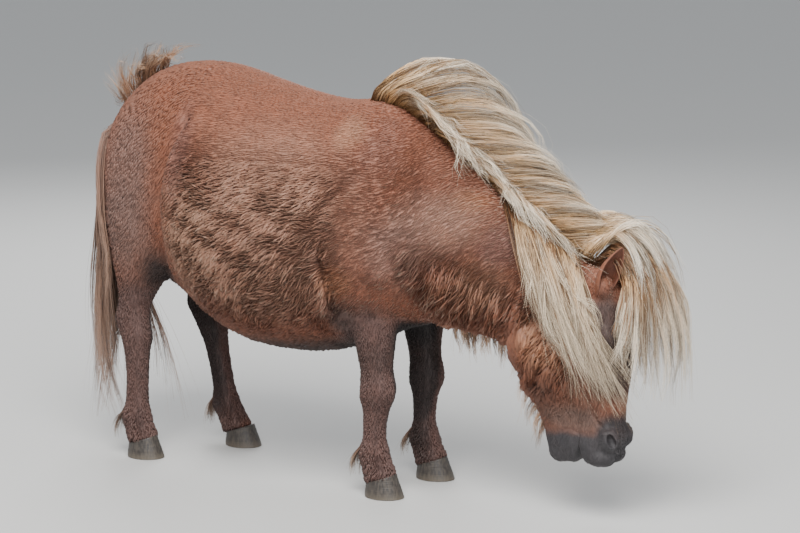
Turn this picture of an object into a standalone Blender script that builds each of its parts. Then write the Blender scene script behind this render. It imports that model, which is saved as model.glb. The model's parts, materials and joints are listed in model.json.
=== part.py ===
"""A grazing Shetland pony, life size, as a still museum model.

The pony faces +X, its left side is +Y and its four soles stand on Z = 0. Everything is in
metres. While it is being modelled, X = 0 is under the fore hooves. The last step moves the
finished pieces so that the middle of their box on the floor is the origin.

The flesh is one body: lofts and muscle ellipsoids are joined, remeshed and smoothed, and the
body is then parted into head, neck, torso and legs by thin cuts. Mane, forelock and tail are
locks laid over the body from guide lines, with their roots in a core on the crest or the dock.
"""

import math
import random
from collections import namedtuple

import bmesh
import bpy
import numpy as np
from mathutils import Matrix, Vector
from mathutils.bvhtree import BVHTree

SEED = 7                    # of the long coat
MANE_SEED = 1
FORELOCK_SEED = 1
TAIL_SEED = 1
GAP = 0.0003                # kept between pieces that touch
LEAST_WIDTH = 0.3           # a lock is narrowed to this share of its width at most
HAIR_GAP = 0.00025          # kept between a lock and the next piece of flesh
WELD = 0.000001             # points nearer than this are one
FORE_TRACK = 0.105          # a fore leg's distance from the middle plane
HIND_TRACK = 0.115          # a hind leg's distance from the middle plane
HOCK_HEIGHT = 0.36          # where a hind leg starts to slope to a foot that is set forward
THIGH_X = -0.690            # the middle of the hind legs' roots in the body
EYE_RADIUS = 0.0165
LID = 0.0036                # thickness of the eyelids
EAR_SKIN = 0.0045           # thickness of the ear's shell
RING_POINTS = 32            # points round a loft's section
STEPS_BETWEEN = 4           # rings from one section to the next
DEEPEST = 0.06              # hair guides never run deeper than this in the body
VOXEL = 0.0052              # cell of the body's remesh
BODY_TRIANGLES = 4500       # of the whole body, before it is parted
ROLL_LOCKS = 18             # locks of the mane that fall to the far side
FALL_LOCKS = 12             # locks of the mane on the near side
FORELOCK_LOCKS = 10
TAIL_LOCKS = 13
BEARD_LOCKS = 4             # on each half of jaw, throat and breast
FEATHER_LOCKS = 3           # behind each fetlock

# A section is a closed ring between its top and bottom points in the X-Z plane. Taper makes it
# wider towards the bottom when negative, and square is 2 for an ellipse and more for a box.
Section = namedtuple("Section", "top bottom half_width taper square y", defaults=(0.0, 2.2, 0.0))

TORSO = [
    Section((-0.835, 0.80), (-0.835, 0.64), 0.060),
    Section((-0.810, 0.885), (-0.815, 0.57), 0.125, -0.05),
    Section((-0.760, 0.950), (-0.765, 0.51), 0.170, -0.08),
    Section((-0.680, 1.003), (-0.685, 0.47), 0.196, -0.08),
    Section((-0.580, 1.024), (-0.585, 0.43), 0.214, -0.05),
    Section((-0.480, 1.018), (-0.480, 0.375), 0.245, -0.08),
    Section((-0.370, 0.990), (-0.370, 0.340), 0.270, -0.14),
    Section((-0.260, 0.965), (-0.260, 0.330), 0.275, -0.16),
    Section((-0.150, 0.951), (-0.150, 0.338), 0.262, -0.16),
    Section((-0.050, 0.958), (-0.050, 0.365), 0.232, -0.16),
    Section((0.040, 0.945), (0.050, 0.405), 0.196, -0.14),
    Section((0.110, 0.885), (0.130, 0.430), 0.168, -0.10),
    Section((0.160, 0.800), (0.190, 0.470), 0.120, -0.05),
]
NECK = [
    Section((-0.060, 0.955), (0.060, 0.450), 0.150, -0.35),
    Section((0.060, 0.935), (0.150, 0.440), 0.152, -0.38),
    Section((0.170, 0.862), (0.215, 0.438), 0.132, -0.36),
    Section((0.280, 0.782), (0.262, 0.437), 0.112, -0.30),
    Section((0.380, 0.710), (0.300, 0.430), 0.098, -0.20),
    Section((0.470, 0.650), (0.335, 0.412), 0.090, -0.10),
    Section((0.540, 0.612), (0.390, 0.400), 0.078),
]
# The head hangs straight down: its top is the line of the face, its bottom the line of the jaw.
HEAD = [
    Section((0.560, 0.622), (0.470, 0.580), 0.044),
    Section((0.598, 0.590), (0.420, 0.540), 0.068),
    Section((0.622, 0.546), (0.384, 0.487), 0.081, 0.02),
    Section((0.634, 0.496), (0.360, 0.432), 0.087, 0.05, 2.4),
    Section((0.638, 0.447), (0.350, 0.380), 0.088, 0.08, 2.5),
    Section((0.635, 0.402), (0.362, 0.336), 0.079, 0.06, 2.5),
    Section((0.630, 0.357), (0.382, 0.296), 0.067, 0.04, 2.4),
    Section((0.625, 0.312), (0.400, 0.260), 0.057, 0.02, 2.3),
    Section((0.621, 0.272), (0.411, 0.228), 0.052, 0.0, 2.3),
    Section((0.620, 0.232), (0.418, 0.200), 0.051, 0.02, 2.3),
    Section((0.622, 0.197), (0.424, 0.176), 0.054, 0.08, 2.4),
    Section((0.612, 0.165), (0.436, 0.150), 0.050, 0.10, 2.4),
    Section((0.588, 0.143), (0.458, 0.134), 0.036, 0.08),
]
# A leg's sections are listed from the body down: top is its front and bottom is its back.
FORE_LEG = [
    Section((0.095, 0.600), (-0.085, 0.620), 0.060, 0.0, 2.2, 0.010),
    Section((0.085, 0.540), (-0.084, 0.555), 0.068, 0.0, 2.2, 0.020),
    Section((0.076, 0.490), (-0.078, 0.500), 0.060, 0.0, 2.2, 0.012),
    Section((0.061, 0.430), (-0.060, 0.435), 0.051, 0.0, 2.2, 0.004),
    Section((0.050, 0.370), (-0.046, 0.372), 0.043),
    Section((0.045, 0.315), (-0.034, 0.315), 0.037),
    Section((0.052, 0.280), (-0.034, 0.275), 0.040),
    Section((0.052, 0.250), (-0.036, 0.245), 0.039),
    Section((0.037, 0.215), (-0.028, 0.212), 0.031),
    Section((0.029, 0.175), (-0.028, 0.175), 0.027),
    Section((0.028, 0.140), (-0.030, 0.138), 0.027),
    Section((0.034, 0.112), (-0.040, 0.104), 0.033),
    Section((0.041, 0.085), (-0.030, 0.072), 0.031),
    Section((0.052, 0.062), (-0.022, 0.045), 0.035),
    Section((0.058, 0.040), (-0.020, 0.018), 0.037),
]
HIND_LEG = [
    Section((0.080, 0.700), (-0.080, 0.740), 0.060, 0.0, 2.2, 0.010),
    Section((0.118, 0.625), (-0.094, 0.670), 0.070, 0.0, 2.2, 0.014),
    Section((0.116, 0.560), (-0.088, 0.600), 0.068, 0.0, 2.2, 0.014),
    Section((0.090, 0.500), (-0.078, 0.520), 0.058, 0.0, 2.2, 0.010),
    Section((0.052, 0.440), (-0.060, 0.445), 0.046, 0.0, 2.2, 0.004),
    Section((0.028, 0.395), (-0.058, 0.400), 0.037),
    Section((0.032, 0.350), (-0.066, 0.368), 0.036),
    Section((0.037, 0.315), (-0.048, 0.322), 0.037),
    Section((0.030, 0.272), (-0.034, 0.270), 0.031),
    Section((0.027, 0.215), (-0.029, 0.210), 0.028),
    Section((0.028, 0.150), (-0.032, 0.145), 0.027),
    Section((0.033, 0.115), (-0.041, 0.106), 0.033),
    Section((0.040, 0.086), (-0.030, 0.072), 0.031),
    Section((0.051, 0.062), (-0.022, 0.045), 0.034),
    Section((0.056, 0.040), (-0.020, 0.018), 0.036),
]
# Where a leg stands: its kind, its side of the body, its track, the X of its line and how far
# the foot is ahead of the hock.
Stance = namedtuple("Stance", "sections side track x ahead")
LEGS = {
    "fore_right": Stance(FORE_LEG, -1, FORE_TRACK, 0.000, 0.000),
    "fore_left": Stance(FORE_LEG, 1, FORE_TRACK, 0.008, 0.010),
    "hind_right": Stance(HIND_LEG, -1, HIND_TRACK, -0.715, -0.010),
    "hind_left": Stance(HIND_LEG, 1, HIND_TRACK, -0.655, 0.075),
}
# Muscles and bones that show: centre, radii, how many degrees the upper end leans back and how
# many it leans to the middle. Each is made on both sides.
Muscle = namedtuple("Muscle", "centre radii back inwards", defaults=(0.0, 0.0))
MUSCLES = [
    Muscle((-0.640, 0.085, 0.790), (0.150, 0.105, 0.180), 20, 10),   # rump
    Muscle((-0.742, 0.095, 0.650), (0.080, 0.075, 0.180), -6, 4),    # back of the thigh
    Muscle((-0.610, 0.125, 0.640), (0.095, 0.066, 0.140), 25, 8),    # front of the thigh
    Muscle((-0.010, 0.130, 0.700), (0.085, 0.055, 0.190), 24, 18),   # shoulder blade
    Muscle((0.105, 0.108, 0.590), (0.075, 0.070, 0.090), -10, 0),    # point of the shoulder
    Muscle((-0.010, 0.140, 0.550), (0.095, 0.060, 0.080), -30, 10),  # upper arm
    Muscle((0.165, 0.050, 0.520), (0.060, 0.070, 0.095), 0, 0),      # breast
    Muscle((0.430, 0.046, 0.420), (0.074, 0.042, 0.086), -14, 0),    # cheek
    Muscle((0.590, 0.066, 0.452), (0.036, 0.020, 0.032), 0, 0),      # eye socket
    Muscle((0.556, 0.058, 0.385), (0.016, 0.012, 0.060), 12, 0),     # facial crest
    Muscle((0.600, 0.036, 0.206), (0.026, 0.022, 0.032), 8, 0),      # nostril wing
    Muscle((0.574, 0.024, 0.160), (0.038, 0.032, 0.026), 0, 0),      # upper lip
    Muscle((0.468, 0.014, 0.158), (0.034, 0.032, 0.028), 0, 0),      # chin and lower lip
    Muscle((0.580, 0.046, 0.565), (0.026, 0.024, 0.030), 0, 0),      # root of the ear
]
EYE = Vector((0.592, 0.0665, 0.452))
NOSTRIL = Muscle((0.613, 0.048, 0.206), (0.009, 0.010, 0.018), 24, 0)
# The mouth is a little open. It is a wedge across the muzzle: its two points at the lips and
# the one at the corners.
MOUTH = ((0.500, 0.118), (0.548, 0.118), (0.532, 0.186))
MOUTH_CORNER = (0.530, 0.214)
EAR_ROOT = Vector((0.578, 0.048, 0.556))
# The near ear points up and forward, the far one more to its side.
EAR_TIPS = {-1: Vector((0.634, -0.062, 0.662)), 1: Vector((0.606, 0.112, 0.646))}

# Planes that part the body, as a point and the normal that points into the piece.
HEAD_PLANES = [((0.385, 0, 0.395), (0.844, 0, -0.537))]
NECK_PLANES = [((0.195, 0, 0.45), (0.921, 0, 0.390))]
FORE_PLANES = [((0, 0.030, 0.415), (0, 0.30, -0.95)), ((0, 0.022, 0), (0, 1, 0)),
               ((-0.098, 0, 0.4), (1, 0, 0)), ((0.145, 0, 0.4), (-1, 0, 0.15))]
HIND_PLANES = [((-0.540, 0.030, 0.520), (0.14, 0.20, -0.97)), ((0, 0.012, 0), (0, 1, 0)),
               ((-0.525, 0, 0.5), (-1, 0, 0))]
CORONET_PLANE = ((0.060, 0, 0.058), (0.33, 0, -0.944))


def clear_scene():
    """Removes what the file starts with."""
    for obj in list(bpy.data.objects):
        bpy.data.objects.remove(obj)


def new_object(name, verts, faces):
    """A mesh object from its points and faces."""
    mesh = bpy.data.meshes.new(name)
    mesh.from_pydata([tuple(v) for v in verts], [], faces)
    mesh.update()
    obj = bpy.data.objects.new(name, mesh)
    bpy.context.scene.collection.objects.link(obj)
    return obj


def smooth_rows(rows, steps):
    """Rows of numbers, with Catmull-Rom rows put between them."""
    rows = np.asarray(rows, float)
    padded = np.vstack([2 * rows[0] - rows[1], rows, 2 * rows[-1] - rows[-2]])
    made = []
    for i in range(len(rows) - 1):
        a, b, c, d = padded[i:i + 4]
        for t in np.arange(steps) / steps:
            made.append(0.5 * (2 * b + (c - a) * t + (2 * a - 5 * b + 4 * c - d) * t ** 2
                               + (3 * b - a - 3 * c + d) * t ** 3))
    made.append(rows[-1])
    return np.array(made)


def section_rings(sections):
    """The rings of a loft, each as an array of points."""
    rows = [(*s.top, *s.bottom, s.half_width, s.taper, s.square, s.y) for s in sections]
    angle = np.linspace(0, 2 * math.pi, RING_POINTS, endpoint=False)
    rings = []
    for tx, tz, bx, bz, half_width, taper, square, y in smooth_rows(rows, STEPS_BETWEEN):
        along = np.sign(np.cos(angle)) * np.abs(np.cos(angle)) ** (2 / square)
        across = np.sign(np.sin(angle)) * np.abs(np.sin(angle)) ** (2 / square)
        x = (tx + bx) / 2 + along * (tx - bx) / 2
        z = (tz + bz) / 2 + along * (tz - bz) / 2
        rings.append(np.stack([x, y + across * half_width * (1 + taper * along), z], 1))
    return rings


def loft_object(name, rings):
    """A closed skin over the rings, which all have as many points."""
    count = len(rings[0])
    faces = [
        (r * count + k, r * count + (k + 1) % count, (r + 1) * count + (k + 1) % count,
         (r + 1) * count + k)
        for r in range(len(rings) - 1) for k in range(count)
    ]
    last = (len(rings) - 1) * count
    faces += [tuple(reversed(range(count))), tuple(range(last, last + count))]
    obj = new_object(name, np.vstack(rings), faces)
    edit_mesh(obj, lambda edit: bmesh.ops.recalc_face_normals(edit, faces=edit.faces))
    return obj


def edit_mesh(obj, change):
    """Runs a change on the object's mesh as a bmesh."""
    edit = bmesh.new()
    edit.from_mesh(obj.data)
    change(edit)
    edit.to_mesh(obj.data)
    edit.free()


def ellipsoid(name, shape, side=1, grow=0.0, detail=3):
    """An ellipsoid on one side of the body, turned as the muscle's angles say."""
    x, y, z = shape.centre
    turn = (Matrix.Rotation(math.radians(-shape.back), 4, "Y")
            @ Matrix.Rotation(math.radians(side * shape.inwards), 4, "X"))
    size = Matrix.Diagonal((*(r + grow for r in shape.radii), 1))
    place = Matrix.Translation((x, side * y, z)) @ turn @ size
    edit = bmesh.new()
    bmesh.ops.create_icosphere(edit, subdivisions=detail, radius=1, matrix=place)
    mesh = bpy.data.meshes.new(name)
    edit.to_mesh(mesh)
    edit.free()
    obj = bpy.data.objects.new(name, mesh)
    bpy.context.scene.collection.objects.link(obj)
    return obj


def leg_rings(stance):
    """A leg's rings at the place where it stands."""
    root = 0.0 if stance.sections is FORE_LEG else THIGH_X
    rings = section_rings(stance.sections)
    for ring in rings:
        ahead = stance.ahead * np.clip(1 - ring[:, 2] / HOCK_HEIGHT, 0, 1)
        above = np.clip((ring[:, 2] - HOCK_HEIGHT) / 0.2, 0, 1)
        ring[:, 0] += stance.x + ahead - above * (stance.x - root)
        ring[:, 1] = stance.side * (stance.track + ring[:, 1])
    return rings


def hoof_object(name, stance, grow=0.0):
    """A hoof, from its flat sole up to the sloping coronet."""
    levels = [(0.000, -0.020, 0.078, 0.0405), (0.0035, -0.0225, 0.0785, 0.0415),
              (0.030, -0.022, 0.070, 0.0385), (0.070, -0.020, 0.056, 0.0345)]
    angle = np.linspace(0, 2 * math.pi, 14, endpoint=False)
    rings = []
    for z, heel, toe, half_width in levels:
        along = np.cos(angle)
        x = (heel + toe) / 2 + along * (toe - heel) / 2 + stance.x + stance.ahead
        y = stance.side * stance.track + np.sin(angle) * half_width * (1 - 0.08 * along)
        rings.append(np.stack([x, y, np.full_like(x, z)], 1))
    hoof = loft_object(name, rings)
    planes = coronet_planes(stance)
    cut(hoof, wedge(planes), "INTERSECT")
    return hoof


def coronet_planes(stance):
    """The plane on top of a hoof, in the place where the hoof stands."""
    (x, y, z), normal = CORONET_PLANE
    return [((x + stance.x + stance.ahead, y, z), normal)]


def join(name, objects):
    """The objects as one, which may overlap one another."""
    verts, faces = [], []
    for obj in objects:
        start = len(verts)
        verts += [v.co for v in obj.data.vertices]
        faces += [tuple(start + i for i in p.vertices) for p in obj.data.polygons]
        bpy.data.objects.remove(obj)
    return new_object(name, verts, faces)


def copy_object(obj, name):
    """A second object with its own mesh."""
    made = bpy.data.objects.new(name, obj.data.copy())
    bpy.context.scene.collection.objects.link(made)
    return made


def apply_modifiers(obj):
    """Makes the evaluated mesh the object's own."""
    graph = bpy.context.evaluated_depsgraph_get()
    mesh = bpy.data.meshes.new_from_object(obj.evaluated_get(graph))
    obj.modifiers.clear()
    obj.data = mesh
    return obj


def cut(target, tool, operation="DIFFERENCE", solver="EXACT"):
    """Applies a Boolean and removes its tool, and keeps the largest closed surface."""
    change = target.modifiers.new("cut", "BOOLEAN")
    change.operation = operation
    change.solver = solver
    change.object = tool
    apply_modifiers(target)
    bpy.data.objects.remove(tool)
    keep_largest(target, solver == "EXACT")
    return target


def unite(name, objects):
    """The union of closed meshes that may cross one another.

    The exact solver leaves open edges where many locks cross, so this is the manifold one.
    """
    group = bpy.data.collections.new("union")
    bpy.context.scene.collection.children.link(group)
    first, *others = objects
    for obj in others:
        bpy.context.scene.collection.objects.unlink(obj)
        group.objects.link(obj)
    change = first.modifiers.new("union", "BOOLEAN")
    change.operation = "UNION"
    change.solver = "MANIFOLD"
    change.operand_type = "COLLECTION"
    change.collection = group
    apply_modifiers(first)
    for obj in others:
        bpy.data.objects.remove(obj)
    bpy.data.collections.remove(group)
    first.name = name
    keep_largest(first, False)
    return first


def keep_largest(obj, weld=True):
    """Deletes all but the closed surface that has the largest volume."""
    def change(edit):
        if weld:
            bmesh.ops.remove_doubles(edit, verts=edit.verts, dist=WELD)
        unseen = dict.fromkeys(edit.faces)
        islands = []
        while unseen:
            front = [unseen.popitem()[0]]
            island = list(front)
            while front:
                near = dict.fromkeys(f for face in front for e in face.edges for f in e.link_faces)
                front = [f for f in near if f in unseen]
                for face in front:
                    del unseen[face]
                island += front
            islands.append(island)
        islands.sort(key=volume_inside)
        for island in islands[:-1]:
            bmesh.ops.delete(edit, geom=island, context="FACES")
    edit_mesh(obj, change)


def volume_inside(faces):
    """The volume that the faces of a closed surface hold."""
    total = 0.0
    for face in faces:
        a = face.verts[0].co
        for b, c in zip(face.verts[1:], face.verts[2:]):
            total += a.dot(b.co.cross(c.co)) / 6
    return total


def wedge(planes, side=1, clear=0.0):
    """The convex block on the inner side of the planes, moved outwards by a clearance."""
    edit = bmesh.new()
    bmesh.ops.create_cube(edit, size=6)
    for (x, y, z), (nx, ny, nz) in planes:
        normal = Vector((nx, side * ny, nz)).normalized()
        point = Vector((x, side * y, z)) - clear * normal
        result = bmesh.ops.bisect_plane(
            edit, geom=edit.verts[:] + edit.edges[:] + edit.faces[:], dist=1e-7,
            plane_co=point, plane_no=normal, clear_inner=True)
        rim = [e for e in result["geom_cut"] if isinstance(e, bmesh.types.BMEdge)]
        bmesh.ops.contextual_create(edit, geom=rim)
    bmesh.ops.recalc_face_normals(edit, faces=edit.faces)
    mesh = bpy.data.meshes.new("wedge")
    edit.to_mesh(mesh)
    edit.free()
    obj = bpy.data.objects.new("wedge", mesh)
    bpy.context.scene.collection.objects.link(obj)
    return obj


def part_off(body, name, planes, side=1):
    """Cuts the piece inside the planes out of the body and leaves a thin gap."""
    piece = cut(copy_object(body, name), wedge(planes, side), "INTERSECT")
    cut(body, wedge(planes, side, GAP))
    return piece


def grown(obj, distance):
    """A copy with its surface moved out by a distance."""
    made = copy_object(obj, "grown")
    push = made.modifiers.new("push", "DISPLACE")
    push.strength = distance
    push.mid_level = 0.0
    return apply_modifiers(made)


def softness(point):
    """How much the body is smoothed at a point: most on the trunk, least on head and feet."""
    x, _, z = point
    if x > 0.40 and z < 0.60:
        return 0.22
    if x > 0.33 and z < 0.68:
        return 0.45
    if z < 0.40 and (x > -0.08 or x < -0.5):
        return 0.22
    return 1.0


def fineness(point):
    """How well the body keeps its triangles at a point, from 0 to nearly 1."""
    x, _, z = point
    if x > 0.40 and z < 0.60:
        return 0.80
    if z < 0.40 and (x > -0.08 or x < -0.5):
        return 0.62
    return 0.40


def weigh(obj, name, function):
    """A vertex group with a weight for every point."""
    group = obj.vertex_groups.new(name=name)
    for vertex in obj.data.vertices:
        group.add([vertex.index], function(vertex.co), "REPLACE")


def whole_body():
    """The flesh as one closed mesh."""
    pieces = [loft_object("torso_form", section_rings(TORSO)),
              loft_object("neck_form", section_rings(NECK)),
              loft_object("head_form", section_rings(HEAD))]
    pieces += [loft_object("leg_form", leg_rings(stance)) for stance in LEGS.values()]
    pieces += [ellipsoid("muscle", muscle, side) for muscle in MUSCLES for side in (-1, 1)]
    body = join("body", pieces)
    remesh = body.modifiers.new("remesh", "REMESH")
    remesh.mode = "VOXEL"
    remesh.voxel_size = VOXEL
    apply_modifiers(body)
    cut(body, prism(MOUTH, 0.2))
    weigh(body, "soft", softness)
    smooth = body.modifiers.new("smooth", "SMOOTH")
    smooth.vertex_group = "soft"
    smooth.factor = 0.6
    smooth.iterations = 44
    apply_modifiers(body)
    weigh(body, "coarse", lambda point: 1 - fineness(point))
    body.data.calc_loop_triangles()
    fewer = body.modifiers.new("fewer", "DECIMATE")
    fewer.ratio = BODY_TRIANGLES / len(body.data.loop_triangles)
    fewer.vertex_group = "coarse"
    fewer.vertex_group_factor = 1.0
    apply_modifiers(body)
    keep_largest(body)
    body.vertex_groups.clear()
    return body


def prism(outline, half_width):
    """A bar across the middle plane with an outline in X and Z."""
    count = len(outline)
    verts = [(x, y, z) for y in (-half_width, half_width) for x, z in outline]
    faces = [(k, (k + 1) % count, count + (k + 1) % count, count + k) for k in range(count)]
    faces += [tuple(reversed(range(count))), tuple(range(count, 2 * count))]
    obj = new_object("prism", verts, faces)
    edit_mesh(obj, lambda edit: bmesh.ops.recalc_face_normals(edit, faces=edit.faces))
    return obj


def add_face(head):
    """Lids and sockets of the eyes, the nostrils and the corners of the mouth."""
    for side in (-1, 1):
        centre = (EYE.x, EYE.y, EYE.z)
        lid = Muscle(centre, (EYE_RADIUS + LID,) * 3)
        head = unite("head", [head, ellipsoid("lid", lid, side, 0.0, 2)])
        opening = Muscle((EYE.x + 0.003, EYE.y + EYE_RADIUS, EYE.z), (0.0095, 0.013, 0.0165), 22)
        cut(head, ellipsoid("opening", opening, side, 0.0, 2))
        cut(head, ellipsoid("socket", Muscle(centre, (EYE_RADIUS,) * 3), side, GAP, 3))
        cut(head, ellipsoid("nostril", NOSTRIL, side, 0.0, 2))
    x, z = MOUTH_CORNER
    apex_x, apex_z = MOUTH[2]
    line = [(x, z), (apex_x - 0.0016, apex_z - 0.012), (apex_x + 0.0016, apex_z - 0.012)]
    return cut(head, prism(line, 0.2))


def ear_object(name, side):
    """An ear: a shell that opens forwards and outwards, closed at its tip."""
    root = Vector((EAR_ROOT.x, side * EAR_ROOT.y, EAR_ROOT.z))
    axis = EAR_TIPS[side] - root
    length = axis.length
    axis.normalize()
    facing = Vector((0.72, side * 0.60, -0.30))
    facing = (facing - facing.dot(axis) * axis).normalized()
    across = axis.cross(facing)
    # Along the ear: its share of the length, radius, half the angle of the shell and the depth.
    levels = [(-0.16, 0.017, 148, 1.0), (0.0, 0.020, 146, 1.0), (0.15, 0.0235, 133, 0.95),
              (0.35, 0.0265, 115, 0.9), (0.58, 0.0245, 100, 0.85), (0.80, 0.0165, 90, 0.8),
              (0.94, 0.0085, 85, 0.8), (1.0, 0.0035, 80, 0.8)]
    rings = []
    for share, radius, half_angle, depth in levels:
        # The tip bends a little towards the middle plane.
        middle = root + axis * (share * length) + Vector((0, -side * 0.010 * share ** 2, 0))
        skin = min(EAR_SKIN, radius * 0.55)
        outer = np.radians(np.linspace(-half_angle, half_angle, 9))
        inner = outer[::-1]
        ring = [middle - facing * math.cos(a) * radius * depth + across * math.sin(a) * radius
                for a in outer]
        ring += [middle - facing * math.cos(a) * (radius * depth - skin)
                 + across * math.sin(a) * (radius - skin) for a in inner]
        rings.append(np.array([tuple(p) for p in ring]))
    return loft_object(name, rings)


# Hair. A guide is the middle line of a lock as points in X, Y and Z, from its root in a core to
# its tip; locks are laid between neighbouring guides. Widths and thicknesses are the largest.
# The flat side of a lock faces away from the clump's hub, a line of points, or from the body.
# Tilt lifts one edge of every lock over its neighbour, in half thicknesses, like shingles.
Clump = namedtuple("Clump", "guides count width thick spread hub lift tilt",
                   defaults=(None, 0.004, 0.9))

NEAR_FALL = [
    [(0.300, -0.005, 0.755), (0.365, -0.075, 0.700), (0.410, -0.112, 0.620), (0.445, -0.122, 0.540),
     (0.480, -0.118, 0.470), (0.510, -0.112, 0.415), (0.530, -0.108, 0.370)],
    [(0.360, -0.006, 0.715), (0.425, -0.085, 0.672), (0.465, -0.112, 0.590), (0.495, -0.115, 0.520),
     (0.530, -0.110, 0.450), (0.560, -0.104, 0.395), (0.580, -0.098, 0.335)],
    [(0.430, -0.008, 0.672), (0.500, -0.085, 0.625), (0.540, -0.102, 0.545), (0.572, -0.104, 0.465),
     (0.598, -0.088, 0.400), (0.620, -0.062, 0.335), (0.640, -0.018, 0.265)],
    [(0.490, -0.010, 0.638), (0.535, -0.080, 0.615), (0.562, -0.098, 0.550), (0.590, -0.099, 0.480),
     (0.610, -0.088, 0.425), (0.634, -0.062, 0.380), (0.646, -0.024, 0.310)],
]
FORELOCK = [
    [(0.585, -0.016, 0.585), (0.628, -0.024, 0.592), (0.640, -0.050, 0.545), (0.636, -0.064, 0.500),
     (0.624, -0.068, 0.465), (0.612, -0.066, 0.430)],
    [(0.585, -0.006, 0.590), (0.645, -0.006, 0.610), (0.668, -0.012, 0.550), (0.678, -0.014, 0.475),
     (0.684, -0.014, 0.410), (0.686, -0.014, 0.350)],
    [(0.580, 0.008, 0.595), (0.645, 0.030, 0.628), (0.682, 0.055, 0.560), (0.700, 0.066, 0.480),
     (0.710, 0.070, 0.410), (0.708, 0.072, 0.345)],
    [(0.575, 0.016, 0.598), (0.638, 0.052, 0.645), (0.688, 0.090, 0.572), (0.714, 0.105, 0.485),
     (0.726, 0.110, 0.415), (0.728, 0.110, 0.365)],
]
TAIL = [
    [(-0.790, -0.010, 0.915), (-0.862, -0.022, 0.840), (-0.890, -0.036, 0.720),
     (-0.900, -0.042, 0.560), (-0.902, -0.045, 0.420), (-0.897, -0.048, 0.280),
     (-0.872, -0.056, 0.160), (-0.800, -0.064, 0.062)],
    [(-0.790, 0.000, 0.920), (-0.872, -0.002, 0.850), (-0.912, 0.000, 0.720),
     (-0.930, 0.000, 0.560), (-0.942, 0.000, 0.420), (-0.948, 0.000, 0.280),
     (-0.955, -0.004, 0.150), (-0.930, -0.010, 0.048)],
    [(-0.790, 0.010, 0.918), (-0.868, 0.022, 0.845), (-0.910, 0.036, 0.720),
     (-0.930, 0.044, 0.560), (-0.946, 0.048, 0.420), (-0.966, 0.050, 0.280),
     (-1.000, 0.050, 0.150), (-1.036, 0.050, 0.050)],
    [(-0.790, 0.014, 0.912), (-0.858, 0.040, 0.835), (-0.882, 0.056, 0.720),
     (-0.893, 0.064, 0.560), (-0.897, 0.068, 0.420), (-0.897, 0.072, 0.280),
     (-0.893, 0.076, 0.160), (-0.880, 0.082, 0.055)],
]
# A few long strands of the tail that hang forward between the hind legs.
TAIL_INNER = [
    [(-0.850, -0.010, 0.800), (-0.872, -0.010, 0.640), (-0.842, -0.008, 0.500),
     (-0.790, -0.006, 0.390), (-0.768, -0.006, 0.280), (-0.764, -0.010, 0.170), (-0.776, -0.010, 0.074)],
    [(-0.850, 0.010, 0.800), (-0.870, 0.010, 0.650), (-0.832, 0.006, 0.515),
     (-0.765, 0.002, 0.415), (-0.705, 0.002, 0.310), (-0.668, 0.002, 0.190), (-0.645, 0.002, 0.095)],
]
# Short rough hair that stands up over the root of the tail.
TAIL_HEAD = [
    [(-0.735, -0.004, 0.962), (-0.725, -0.010, 0.990), (-0.700, -0.014, 1.018), (-0.655, -0.018, 1.040)],
    [(-0.775, 0.004, 0.940), (-0.775, 0.006, 0.975), (-0.762, 0.008, 1.000), (-0.735, 0.008, 1.016)],
    [(-0.805, -0.006, 0.905), (-0.825, -0.010, 0.945), (-0.835, -0.016, 0.970), (-0.838, -0.022, 0.990)],
    [(-0.820, 0.006, 0.880), (-0.855, 0.008, 0.912), (-0.882, 0.008, 0.925), (-0.905, 0.006, 0.922)],
]
DOCK = [((-0.715, 0.975), 0.012, 0.020), ((-0.765, 0.945), 0.018, 0.026),
        ((-0.812, 0.900), 0.022, 0.030), ((-0.850, 0.830), 0.022, 0.030),
        ((-0.868, 0.740), 0.020, 0.028), ((-0.876, 0.640), 0.016, 0.024),
        ((-0.880, 0.560), 0.010, 0.016)]
# Long hair that hangs from the near half of jaw, throat and breast. The far half mirrors it.
JAW_HAIR = [
    [(0.392, -0.014, 0.442), (0.352, -0.018, 0.412), (0.335, -0.018, 0.368), (0.343, -0.016, 0.322)],
    [(0.412, -0.016, 0.340), (0.378, -0.020, 0.312), (0.361, -0.020, 0.270), (0.372, -0.018, 0.232)],
    [(0.445, -0.014, 0.225), (0.412, -0.016, 0.200), (0.399, -0.016, 0.165), (0.410, -0.014, 0.132)],
]
THROAT_HAIR = [
    [(0.225, -0.012, 0.458), (0.226, -0.014, 0.422), (0.232, -0.014, 0.388), (0.242, -0.012, 0.355)],
    [(0.345, -0.014, 0.440), (0.322, -0.018, 0.402), (0.314, -0.018, 0.362), (0.320, -0.016, 0.322)],
]
BREAST_HAIR = [
    [(0.172, -0.010, 0.450), (0.172, -0.010, 0.425), (0.176, -0.010, 0.392), (0.184, -0.010, 0.362)],
    [(0.168, -0.050, 0.456), (0.168, -0.050, 0.430), (0.173, -0.048, 0.400), (0.182, -0.044, 0.372)],
]
# Feathers behind a fetlock, from the leg's line and the middle of its track.
FEATHERS = [
    [(-0.020, -0.022, 0.128), (-0.042, -0.026, 0.104), (-0.054, -0.028, 0.078), (-0.056, -0.028, 0.050)],
    [(-0.024, 0.000, 0.132), (-0.050, 0.000, 0.104), (-0.064, 0.000, 0.074), (-0.066, 0.000, 0.044)],
    [(-0.020, 0.022, 0.128), (-0.042, 0.026, 0.104), (-0.054, 0.028, 0.078), (-0.056, 0.028, 0.050)],
]
TAIL_HUB = [(-0.780, 0.0, 0.86), (-0.840, 0.0, 0.74), (-0.865, 0.005, 0.50), (-0.880, 0.01, 0.0)]
CREST_ENDS = (-0.045, 0.545)


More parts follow.
